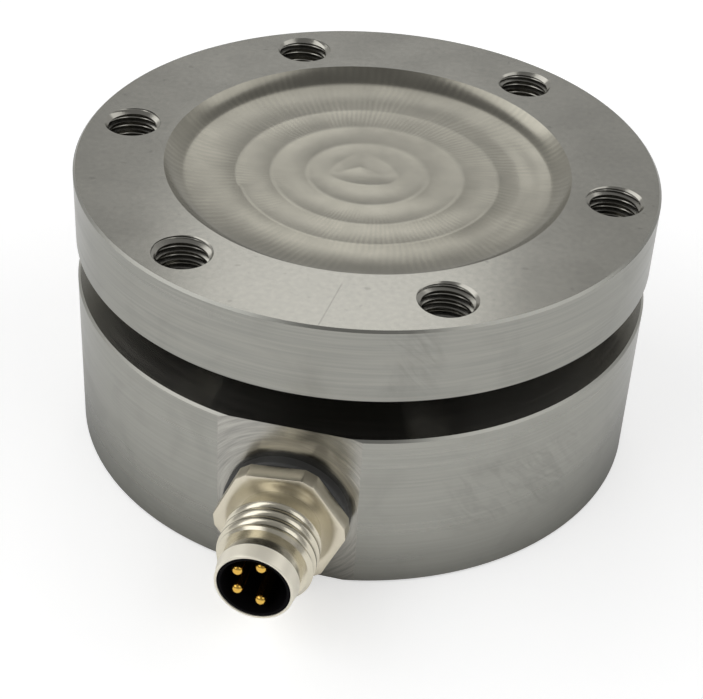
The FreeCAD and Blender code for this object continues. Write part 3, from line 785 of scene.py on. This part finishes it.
def angle_round(tree, way):
    """Give the angle of a way out from the Z axis, in radians."""
    parts = add(tree, "SeparateXYZ", {"Vector": way})
    return add(tree, "Math", {0: parts["Y"], 1: parts["X"]}, operation="ARCTAN2")["Value"]


def ring_noise(tree, way, across, spacing, streak):
    """Give a noise that is long round the Z axis, by a streak's length, and fine across it, by a spacing."""
    lift = add(tree, "Math", {0: across, 1: 1 / (spacing * MM)}, operation="MULTIPLY")["Value"]
    lifted = add(tree, "CombineXYZ", {"Z": lift})["Vector"]
    length = BODY_R / streak
    drawn = add(tree, "VectorMath", {0: way, 1: (length, length, 0), 2: lifted},
                operation="MULTIPLY_ADD")["Vector"]
    return add(tree, "TexNoise", {"Vector": drawn, "Scale": 1, "Detail": 2})["Fac"]


def shaded(tree, factor, dark, light, shade):
    """Mix two colours by a factor and scale the mix by a shade."""
    mixed = add(tree, "Mix", {0: factor, 6: linear(dark), 7: linear(light)}, data_type="RGBA")[2]
    return add(tree, "VectorMath", {0: mixed, "Scale": shade}, operation="SCALE")["Vector"]


def finish_shader(tree, shader, colour, rough, height, depth, strength=0.5):
    """Link a colour, a roughness and a bump of some depth in millimetres to the shader."""
    bump = add(tree, "Bump", {"Height": height, "Strength": strength, "Distance": depth * MM})["Normal"]
    tree.links.new(colour, shader.inputs["Base Color"])
    tree.links.new(rough, shader.inputs["Roughness"])
    tree.links.new(bump, shader.inputs["Normal"])


def stretch_round_axis(tree, shader):
    """Stretch reflections across marks round the Z axis, a quarter turn from the way round."""
    tangent = add(tree, "Tangent", direction_type="RADIAL", axis="Z")["Tangent"]
    shader.inputs["Anisotropic Rotation"].default_value = 0.25
    tree.links.new(tangent, shader.inputs["Tangent"])


def patch(tree, way, measure, angle, half_angle, low, high):
    """Give 1 round an angle in degrees where a height or radius is between two values, and 0 elsewhere."""
    facing = (math.cos(math.radians(angle)), math.sin(math.radians(angle)), 0)
    turned = add(tree, "VectorMath", {0: way, 1: facing}, operation="DOT_PRODUCT")["Value"]
    edge = PATCH_EDGE * MM
    low *= MM
    high *= MM
    outer = math.cos(math.radians(1.5 * half_angle))
    inner = math.cos(math.radians(0.5 * half_angle))
    beside = add(tree, "MapRange", {0: turned, 1: outer, 2: inner, 3: 0, 4: 1})["Result"]
    over = add(tree, "MapRange", {0: measure, 1: low - edge, 2: low + edge, 3: 0, 4: 1})["Result"]
    under = add(tree, "MapRange", {0: measure, 1: high - edge, 2: high + edge, 3: 1, 4: 0})["Result"]
    between = add(tree, "Math", {0: over, 1: under}, operation="MULTIPLY")["Value"]
    return add(tree, "Math", {0: beside, 1: between}, operation="MULTIPLY")["Value"]


def turned_stainless_steel():
    """Stainless bar turned on a lathe: satin grey with fine lines round the axis, a few rubbed marks and a
    painted shade on the flange's side.
    """
    material, tree, shader, spot = start_material(
        "turned_stainless_steel", Metallic=1, Anisotropic=0.4, Specular_Tint=(0.8, 0.8, 0.8, 1))
    radius, way, height = round_axis(tree, spot)
    across = add(tree, "Math", {0: radius, 1: height})["Value"]
    # The tool's real feed of about 0.1 mm is drawn at 0.2 mm, so that it shows
    lines = ring_noise(tree, way, across, 0.2, 9)
    bands = ring_noise(tree, way, across, 0.9, 40)
    rubbed = add(tree, "TexNoise", {"Vector": spot, "Scale": 1 / (5 * MM), "Detail": 6,
                                    "Distortion": 0.8})["Fac"]
    # The flange's side shows its lines more than the foot of the base does
    clear = add(tree, "MapRange", {0: height, 1: 4 * MM, 2: 20 * MM, 3: 0.45, 4: 1.0})["Result"]
    about_middle = add(tree, "MapRange", {0: lines, 1: 0.3, 2: 0.7, 3: -0.5, 4: 0.5})["Result"]
    drawn = add(tree, "Math", {0: about_middle, 1: clear, 2: 0.5}, operation="MULTIPLY_ADD")["Value"]
    # Slanting rubbed marks on the flange and on the base, right of the middle
    turned = angle_round(tree, way)
    along = add(tree, "Math", {0: turned, 1: BODY_R * MM}, operation="MULTIPLY")["Value"]
    unrolled = add(tree, "CombineXYZ", {"X": along, "Y": height})["Vector"]
    slanted = add(tree, "VectorRotate", {"Vector": unrolled, "Angle": math.radians(50)},
                  rotation_type="Z_AXIS")["Vector"]
    drawn_out = add(tree, "VectorMath", {0: slanted, 1: (1 / (3.5 * MM), 1 / (1.1 * MM), 1)},
                    operation="MULTIPLY")["Vector"]
    marks = add(tree, "TexNoise", {"Vector": drawn_out, "Scale": 1, "Detail": 6,
                                   "Distortion": 1.5})["Fac"]
    on_flange = patch(tree, way, height, -68, 4, 20, 26)
    on_base = patch(tree, way, height, -44, 13, 5, 11.5)
    places = add(tree, "Math", {0: on_flange, 1: on_base}, operation="MAXIMUM")["Value"]
    darker = add(tree, "MapRange", {0: marks, 1: 0.42, 2: 0.68, 3: 0.0, 4: -0.15})["Result"]
    marked = add(tree, "Math", {0: darker, 1: places, 2: 1.0}, operation="MULTIPLY_ADD")["Value"]
    # Painted shade: the flange's side is a little darker than the base
    flange_painted_shade = add(tree, "MapRange", {0: height, 1: BASE_TOP * MM, 2: FLANGE_BOTTOM * MM,
                                  3: 1.0, 4: 0.93})["Result"]
    dulled = add(tree, "MapRange", {0: rubbed, 1: 0.5, 2: 0.75, 3: 1.0, 4: 0.9})["Result"]
    worn = add(tree, "Math", {0: dulled, 1: marked}, operation="MULTIPLY")["Value"]
    shade = add(tree, "Math", {0: worn, 1: flange_painted_shade}, operation="MULTIPLY")["Value"]
    colour = shaded(tree, drawn, "#95958f", "#a09f98", shade)
    rough = add(tree, "MapRange", {0: bands, 1: 0.3, 2: 0.7, 3: 0.27, 4: 0.33})["Result"]
    finish_shader(tree, shader, colour, rough, lines, 0.006)
    stretch_round_axis(tree, shader)
    return material


def fine_turned_stainless_steel():
    """The groove's faces, turned with a fine feed: dark, with the tapped holes mirrored as streaks."""
    material, tree, shader, spot = start_material("fine_turned_stainless_steel", Metallic=1, Anisotropic=0.97)
    radius, way, height = round_axis(tree, spot)
    across = add(tree, "Math", {0: radius, 1: height})["Value"]
    lines = ring_noise(tree, way, across, 0.25, 12)
    colour = shaded(tree, lines, "#8e8d88", "#98968f", 1.0)
    rough = add(tree, "MapRange", {0: lines, 1: 0.3, 2: 0.7, 3: 0.21, 4: 0.25})["Result"]
    finish_shader(tree, shader, colour, rough, lines, 0.0002)
    stretch_round_axis(tree, shader)
    return material


def lapped_stainless_steel():
    """The flange's top face, rubbed flat after turning: an even satin with faint clouds and small specks."""
    material, tree, shader, spot = start_material("lapped_stainless_steel", Metallic=1)
    clouds = add(tree, "TexNoise", {"Vector": spot, "Scale": 1 / (5 * MM), "Detail": 5})["Fac"]
    grain = add(tree, "TexNoise", {"Vector": spot, "Scale": 1 / (0.5 * MM), "Detail": 3})["Fac"]
    specks = add(tree, "TexNoise", {"Vector": spot, "Scale": 1 / (0.8 * MM), "Detail": 0})["Fac"]
    cloudy = add(tree, "MapRange", {0: clouds, 1: 0.35, 2: 0.65, 3: 0.96, 4: 1.03})["Result"]
    specked = add(tree, "MapRange", {0: specks, 1: 0.78, 2: 0.84, 3: 1.0, 4: 0.85})["Result"]
    clouded = add(tree, "Math", {0: cloudy, 1: specked}, operation="MULTIPLY")["Value"]
    # One fine scratch runs out to the front edge
    parts = add(tree, "SeparateXYZ", {"Vector": spot})
    beside = add(tree, "Math", {0: parts["Y"], 1: -SCRATCH_LEAN, 2: parts["X"]},
                 operation="MULTIPLY_ADD")["Value"]
    on_line = add(tree, "Math", {0: beside, 1: SCRATCH_X * MM, 2: SCRATCH_HALF * MM},
                  operation="COMPARE")["Value"]
    in_front = add(tree, "MapRange", {0: parts["Y"], 1: SCRATCH_START * MM, 2: SCRATCH_END * MM,
                                      3: 1, 4: 0})["Result"]
    scratch = add(tree, "Math", {0: on_line, 1: in_front}, operation="MULTIPLY")["Value"]
    scratched = add(tree, "MapRange", {0: scratch, 1: 0, 2: 1, 3: 1.0, 4: 0.82})["Result"]
    shade = add(tree, "Math", {0: scratched, 1: clouded}, operation="MULTIPLY")["Value"]
    even_grain = add(tree, "MapRange", {0: grain, 1: 0.3, 2: 0.7, 3: 0.2, 4: 0.8})["Result"]
    colour = shaded(tree, even_grain, "#93928b", "#9f9d95", shade)
    rough = add(tree, "MapRange", {0: clouds, 1: 0.3, 2: 0.7, 3: 0.16, 4: 0.21})["Result"]
    finish_shader(tree, shader, colour, rough, grain, 0.002)
    return material


def ball_milled_stainless_steel():
    """Stainless steel cut with a ball cutter: a soft warm sheen, slanting comb marks across the passes, and
    painted shade at the back and the front.
    """
    material, tree, shader, spot = start_material("ball_milled_stainless_steel", Metallic=1)
    radius, way = round_axis(tree, spot)[:2]
    turned = angle_round(tree, way)
    clouds = add(tree, "TexNoise", {"Vector": spot, "Scale": 1 / (3 * MM), "Detail": 4})["Fac"]
    # One mark for each bite of the cutter, about 0.6 mm apart and leaning along the pass
    teeth = add(tree, "Math", {0: turned, 1: COMB_MARKS}, operation="MULTIPLY")["Value"]
    lean = add(tree, "Math", {0: radius, 1: COMB_LEAN / MM, 2: teeth}, operation="MULTIPLY_ADD")["Value"]
    uneven = add(tree, "Math", {0: clouds, 1: COMB_WOBBLE, 2: lean}, operation="MULTIPLY_ADD")["Value"]
    wave = add(tree, "Math", {0: uneven}, operation="SINE")["Value"]
    comb = add(tree, "MapRange", {0: wave, 1: -1, 2: 1, 3: 0, 4: 1})["Result"]
    patchy = add(tree, "TexNoise", {"Vector": spot, "Scale": 1 / (4 * MM), "Detail": 2})["Fac"]
    in_places = add(tree, "MapRange", {0: patchy, 1: 0.4, 2: 0.6, 3: 0.15, 4: 1.0})["Result"]
    marks = add(tree, "Math", {0: comb, 1: in_places}, operation="MULTIPLY")["Value"]
    # Painted shade: the recess is darker at the back and the front, where its outermost pass climbs to the
    # rim
    at_back = patch(tree, way, radius, 101, 55, 12.5, 19)
    at_front = patch(tree, way, radius, -82, 42, 13.4, 16.2)
    painted_shade_places = add(tree, "Math", {0: at_back, 1: at_front}, operation="MAXIMUM")["Value"]
    painted_shade = add(tree, "MapRange", {0: painted_shade_places, 1: 0, 2: 1, 3: 1.0, 4: 0.76})["Result"]
    cloudy = add(tree, "MapRange", {0: clouds, 1: 0.3, 2: 0.7, 3: 0.9, 4: 1.07})["Result"]
    shade = add(tree, "Math", {0: cloudy, 1: painted_shade}, operation="MULTIPLY")["Value"]
    colour = shaded(tree, marks, "#98958a", "#a09d91", shade)
    rough = add(tree, "MapRange", {0: marks, 1: 0, 2: 1, 3: 0.24, 4: 0.27})["Result"]
    finish_shader(tree, shader, colour, rough, marks, 0.0006)
    return material


def face_milled_stainless_steel():
    """The flat round the connector, milled bright: a dull mirror with fine arcs round the plug."""
    material, tree, shader, spot = start_material("face_milled_stainless_steel", Metallic=1)
    off_plug = add(tree, "VectorMath", {0: spot, 1: (0, 0, CONNECTOR_Z * MM)},
                   operation="SUBTRACT")["Vector"]
    across = add(tree, "VectorMath", {0: off_plug, 1: (1, 0, 1)}, operation="MULTIPLY")["Vector"]
    radius = add(tree, "VectorMath", {0: across}, operation="LENGTH")["Value"]
    arcs = add(tree, "Math", {0: radius, 1: 1 / (0.2 * MM)}, operation="MULTIPLY")["Value"]
    drawn = add(tree, "VectorMath", {0: across, 1: (1 / (3 * MM), 1, 1 / (3 * MM))},
                operation="MULTIPLY")["Vector"]
    lines = add(tree, "TexNoise", {"Vector": drawn, "W": arcs, "Scale": 1, "Detail": 2},
                noise_dimensions="4D")["Fac"]
    clouds = add(tree, "TexNoise", {"Vector": spot, "Scale": 1 / (4 * MM), "Detail": 3})["Fac"]
    cut_lines = add(tree, "MapRange", {0: lines, 1: 0.3, 2: 0.7, 3: 0, 4: 1})["Result"]
    cloudy = add(tree, "MapRange", {0: clouds, 1: 0.3, 2: 0.7, 3: 0.97, 4: 1.03})["Result"]
    colour = shaded(tree, cut_lines, "#908f8a", "#adaba4", cloudy)
    rough = add(tree, "MapRange", {0: clouds, 1: 0.3, 2: 0.7, 3: 0.18, 4: 0.25})["Result"]
    finish_shader(tree, shader, colour, rough, lines, 0.006)
    return material


def simple_finish(name, dark, light, grain, rough_low, rough_high, depth, **values):
    """A surface with a fine grain: two near colours, a changing roughness and a slight bump."""
    material, tree, shader, spot = start_material(name, **values)
    noise = add(tree, "TexNoise", {"Vector": spot, "Scale": 1 / (grain * MM), "Detail": 4})["Fac"]
    colour = add(tree, "Mix", {0: noise, 6: linear(dark), 7: linear(light)}, data_type="RGBA")[2]
    rough = add(tree, "MapRange", {0: noise, 1: 0.3, 2: 0.7, 3: rough_low, 4: rough_high})["Result"]
    finish_shader(tree, shader, colour, rough, noise, depth, 0.3)
    return material


turned_steel = turned_stainless_steel()
groove_steel = fine_turned_stainless_steel()
top_steel = lapped_stainless_steel()
milled_steel = ball_milled_stainless_steel()
flat_steel = face_milled_stainless_steel()
# Cut threads: bright crests over dark roots
tapped_steel = simple_finish("tapped_stainless_steel", "#96948d", "#a09e96", 1.0, 0.2, 0.25, 0.001,
                             Metallic=1)
# Plated over turned brass: warm and bright, with sharp highlights along the thread
nickel = simple_finish("nickel_plated_brass", "#cbc5b3", "#d5cfbe", 0.5, 0.2, 0.26, 0.001, Metallic=1)
# The collar's plating is duller, a real satin finish, and pale all round, a painted sheen, so it is drawn as
# only partly metallic
pale_nickel_painted_sheen = simple_finish("satin_nickel_plated_brass_painted_sheen", "#f3eddb", "#f8f2e1", 0.5, 0.34, 0.4, 0.001,
                             Metallic=0.35)
# Plated over the hexagon's milled faces: a broad dull sheen
milled_nickel = simple_finish("milled_nickel_plated_brass", "#cfc8b6", "#d9d2c0", 0.3, 0.32, 0.4, 0.002,
                              Metallic=1)
# Thin plating on turned pins: deep yellow with a small highlight
gold = simple_finish("gold_plated_brass", "#d3a548", "#e3ba5e", 0.1, 0.18, 0.25, 0.002, Metallic=1)
# Moulded black plastic deep in the shell: almost no highlight
black_polyamide = simple_finish("moulded_black_polyamide", "#0a090b", "#0f0e11", 0.3, 0.6, 0.7, 0.001,
                                Specular_IOR_Level=0.04)
# Moulded rubber: dark grey and half matt
nitrile = simple_finish("moulded_nitrile_rubber", "#2f2f2e", "#383837", 0.2, 0.45, 0.6, 0.002)
# Pressed screws: a brighter, rougher steel than the cover
screw_steel = simple_finish("pressed_stainless_screw", "#9c9a94", "#aeaca6", 0.2, 0.25, 0.35, 0.004,
                            Metallic=1)
# Solder mask on glass weave: green, half gloss
laminate = simple_finish("epoxy_glass_laminate", "#2f6b3a", "#397a45", 0.4, 0.3, 0.42, 0.004)
# Turned from natural rod: milky white
nylon = simple_finish("turned_natural_nylon", "#d9d4c4", "#e6e2d4", 0.3, 0.4, 0.5, 0.004)
# Film over the gauge's foil: amber, half gloss
gauge_film = simple_finish("polyimide_gauge_film", "#a8631c", "#bb7526", 0.2, 0.3, 0.4, 0.002)
# Glazed chips: near black with a slight gloss
chip_ceramic = simple_finish("glazed_alumina_chip", "#23262b", "#30343a", 0.15, 0.3, 0.4, 0.002)
# Enamel over drawn copper: red brown and shiny
copper = simple_finish("enamelled_copper_wire", "#8d3f1e", "#a24e28", 0.3, 0.2, 0.3, 0.002, Metallic=1)
# Poured resin: black, half gloss
potting = simple_finish("cast_epoxy_potting", "#191817", "#242220", 0.5, 0.25, 0.4, 0.01)
# Extruded wire covers: plain colours, half matt
wire_colours = {
    "lead_wire_1": ("brown_pvc_wire", "#4b2a17", "#583420"),
    "lead_wire_2": ("white_pvc_wire", "#d8d6cf", "#e4e2dc"),
    "lead_wire_3": ("blue_pvc_wire", "#1d4288", "#274e97"),
    "lead_wire_4": ("black_pvc_wire", "#131313", "#1d1d1d"),
}


def in_recess(centre, normal):
    """Faces of the dished recess."""
    return math.hypot(centre.x, centre.y) < RECESS_R and TOP - 2 * RECESS_DEPTH < centre.z < TOP - TOUCH


def in_tapped_hole(centre, normal):
    """Faces inside a tapped hole or on its chamfer, not on the plane that it opens in."""
    step = math.tau / BOLT_COUNT
    angle = round(math.atan2(centre.y, centre.x) / step) * step
    upper = centre.z > FLANGE_BOTTOM + TOUCH
    bolt_r = FLANGE_BOLT_R if upper else BASE_BOLT_R
    away = math.hypot(centre.x - bolt_r * math.cos(angle), centre.y - bolt_r * math.sin(angle))
    inside = TOUCH < centre.z < TOP - TOUCH and not BASE_TOP - EDGE_CHAMFER < centre.z < FLANGE_BOTTOM + TOUCH
    return inside and away < (FLANGE_ROOT_R if upper else BASE_ROOT_R) + TAP_CHAMFER


def in_groove(centre, normal):
    """Faces of the groove between flange and base."""
    inside = BASE_TOP - TOUCH < centre.z < FLANGE_BOTTOM + TOUCH
    return inside and math.hypot(centre.x, centre.y) < BODY_R - EDGE_CHAMFER


def on_top(centre, normal):
    """The flange's flat top face."""
    return normal.z > SQUARE and centre.z > TOP - TOUCH


def on_flat(centre, normal):
    """The flat round the connector."""
    return normal.y < -SQUARE and abs(centre.y - FLAT_Y) < NEAR and centre.z < BASE_TOP


def on_hexagon(centre, normal):
    """The shell's hexagon with the dish in its front."""
    return SEAL_FRONT - NEAR < FLAT_Y - centre.y < HEX_FRONT + NEAR


def on_nose(centre, normal):
    """The shell's smooth collar in front of the latch groove."""
    return FLAT_Y - centre.y > LATCH_END


body = make_body()
finish_piece(
    body, "sensing_body", "stainless_steel", BODY_SMOOTH,
    (turned_steel, all_over), (groove_steel, in_groove), (top_steel, on_top), (milled_steel, in_recess),
    (tapped_steel, in_tapped_hole), (flat_steel, on_flat))
finish_piece(
    make_connector_shell(), "connector_shell", "nickel_plate", SHELL_SMOOTH,
    (nickel, all_over), (milled_nickel, on_hexagon), (pale_nickel_painted_sheen, on_nose))
finish_piece(make_connector_seal(), "connector_seal", "seal_rubber", PLAIN_SMOOTH, (nitrile, all_over))
carrier = make_contact_carrier()
finish_piece(carrier, "contact_carrier", "black_plastic", PLAIN_SMOOTH, (black_polyamide, all_over))
for number, (sideways, upwards) in enumerate(pin_places(), start=1):
    pin = make_contact_pin(number, sideways, upwards)
    finish_piece(pin, f"contact_pin_{number}", "gold_plate", PLAIN_SMOOTH, (gold, all_over))
finish_piece(make_bottom_cover(), "bottom_cover", "stainless_steel", PLAIN_SMOOTH, (turned_steel, all_over))
for screw in make_cover_screws():
    finish_piece(screw, "cover_screws", "screw_steel", PLAIN_SMOOTH, (screw_steel, all_over))

# Pieces inside the closed body keep their solids' meshes
kept_finishes = {
    "cover_seal": nitrile,
    "gauge_leads": copper,
    "terminal_board": laminate,
    "board_spacer": nylon,
    "board_screw": screw_steel,
    "connector_potting": potting,
}
kept_finishes.update({name: gauge_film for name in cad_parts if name.startswith("strain_gauge")})
kept_finishes.update({name: chip_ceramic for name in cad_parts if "resistor" in name})
for name, (title, dark, light) in wire_colours.items():
    kept_finishes[name] = simple_finish(title, dark, light, 0.3, 0.4, 0.5, 0.003)
for name, material in kept_finishes.items():
    for material_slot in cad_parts[name].material_slots:
        material_slot.material = material


def view_way(azimuth, elevation):
    """Return a direction from the object, with azimuth from behind it to the camera's right."""
    level = math.cos(math.radians(elevation))
    across = math.sin(math.radians(azimuth)) * level
    back = math.cos(math.radians(azimuth)) * level
    way = Vector((across, back, math.sin(math.radians(elevation))))
    return Matrix.Rotation(VIEW_TURN, 3, "Z") @ way


def hang_lamp(name, azimuth, elevation, width, height, radiance):
    """Hang a soft rectangular lamp of one radiance, its sides in degrees as the object sees it."""
    data = bpy.data.lights.new(name, "AREA")
    data.shape = "RECTANGLE"
    data.size = 2 * LAMP_DISTANCE * math.tan(math.radians(width / 2))
    data.size_y = 2 * LAMP_DISTANCE * math.tan(math.radians(height / 2))
    data.energy = radiance * math.pi * data.size * data.size_y
    lamp = bpy.data.objects.new(name, data)
    way = view_way(azimuth, elevation)
    lamp.location = LAMP_DISTANCE * way + Vector((0, 0, TOP * MM))
    lamp.rotation_euler = way.to_track_quat("Z", "Y").to_euler()
    lamp.visible_camera = False
    bpy.context.collection.objects.link(lamp)


def set_camera():
    """Put the camera where the photograph was taken from."""
    forward = Vector((math.sin(PAN) * math.cos(TILT), math.cos(PAN) * math.cos(TILT), -math.sin(TILT)))
    right = Vector((math.cos(PAN), -math.sin(PAN), 0))
    up = right.cross(forward)
    rolled_right = math.cos(ROLL) * right + math.sin(ROLL) * up
    rolled_up = -math.sin(ROLL) * right + math.cos(ROLL) * up
    axes = Matrix((rolled_right, rolled_up, -forward)).transposed().to_4x4()
    stand = Matrix.Translation((0, -CAMERA_BACK * MM, (CAMERA_TARGET_Z + CAMERA_UP) * MM))
    data = bpy.data.cameras.new("camera")
    data.lens = LENS
    data.clip_start = 0.01
    camera = bpy.data.objects.new("camera", data)
    camera.matrix_world = Matrix.Rotation(VIEW_TURN, 4, "Z") @ stand @ axes
    bpy.context.collection.objects.link(camera)
    bpy.context.scene.camera = camera


def lay_floor():
    """A pale floor that looks white and keeps the shadow, mirrored darker close to the object by a painted
    shade in its glow.

    It is clear from below and open under the object, so that the underside gets light and shows too.
    """
    clear_selection()
    bpy.ops.mesh.primitive_plane_add(size=FLOOR_SIZE)
    floor = bpy.context.object
    floor.name = "floor"
    material = bpy.data.materials.new("pale_floor")
    material.use_nodes = True
    tree = material.node_tree
    tree.nodes.remove(tree.nodes["Principled BSDF"])
    spot = add(tree, "TexCoord")["Object"]
    away = add(tree, "VectorMath", {0: spot}, operation="LENGTH")["Value"]
    path = add(tree, "LightPath")
    mirrored = add(tree, "Math", {0: path["Is Glossy Ray"], 1: path["Is Transmission Ray"]},
                   operation="MAXIMUM")["Value"]
    # Painted shade: in reflections the floor's glow fades out close to the object
    near = add(tree, "MapRange", {0: away, 1: BODY_R * MM, 2: (BODY_R + FLOOR_FADE) * MM,
                                  3: 0, 4: 1})["Result"]
    seen = add(tree, "Math", {0: mirrored, 1: near, 2: path["Is Camera Ray"]},
               operation="MULTIPLY_ADD")["Value"]
    glow = add(tree, "Math", {0: seen, 1: FLOOR_GLOW}, operation="MULTIPLY")["Value"]
    emission = add(tree, "Emission", {"Strength": glow})["Emission"]
    diffuse = add(tree, "BsdfDiffuse", {"Color": (FLOOR_TONE, FLOOR_TONE, FLOOR_TONE, 1)})["BSDF"]
    lit = add(tree, "AddShader", {0: diffuse, 1: emission})["Shader"]
    clear = add(tree, "BsdfTransparent")["BSDF"]
    behind = add(tree, "NewGeometry")["Backfacing"]
    within = add(tree, "Math", {0: away, 1: (BODY_R - EDGE_CHAMFER - FLOOR_OVERLAP) * MM},
                 operation="LESS_THAN")["Value"]
    depth = add(tree, "SeparateXYZ", {"Vector": spot})["Y"]
    behind_flat = add(tree, "Math", {0: depth, 1: (FLAT_Y + FLOOR_OVERLAP) * MM},
                      operation="GREATER_THAN")["Value"]
    under = add(tree, "Math", {0: within, 1: behind_flat}, operation="MULTIPLY")["Value"]
    open_floor = add(tree, "Math", {0: behind, 1: under}, operation="MAXIMUM")["Value"]
    both = add(tree, "MixShader", {0: open_floor, 1: lit, 2: clear})["Shader"]
    tree.links.new(both, tree.nodes["Material Output"].inputs["Surface"])
    floor.data.materials.append(material)


def set_world():
    """Soft light from low behind and beside the object, weaker overhead and on the camera's side."""
    world = bpy.data.worlds.new("studio")
    world.use_nodes = True
    tree = world.node_tree
    way = add(tree, "TexCoord")["Generated"]
    height = add(tree, "SeparateXYZ", {"Vector": way})["Z"]
    behind = add(tree, "VectorMath", {0: way, 1: view_way(0, 0)}, operation="DOT_PRODUCT")["Value"]
    low = add(tree, "MapRange", {0: behind, 1: -0.3, 2: 0.4, 3: WORLD_FRONT, 4: WORLD_BACK})["Result"]
    fall = add(tree, "MapRange", {0: height, 1: 0.5, 2: 0.8, 3: low, 4: WORLD_HIGH})["Result"]
    background = tree.nodes["Background"]
    background.inputs["Color"].default_value = (1, 1, 1, 1)
    tree.links.new(fall, background.inputs["Strength"])
    bpy.context.scene.world = world
    bpy.context.scene.view_settings.view_transform = "Standard"


set_camera()
lay_floor()
set_world()
hang_lamp("back_softbox", -1, 39.3, 12.5, 16.6, 1.24)
hang_lamp("upper_softbox", -1, 53.8, 14, 12, 0.7)
hang_lamp("left_window", -100, 42, 80, 30, 1.6)
hang_lamp("right_window", 105, 42, 70, 30, 1.1)
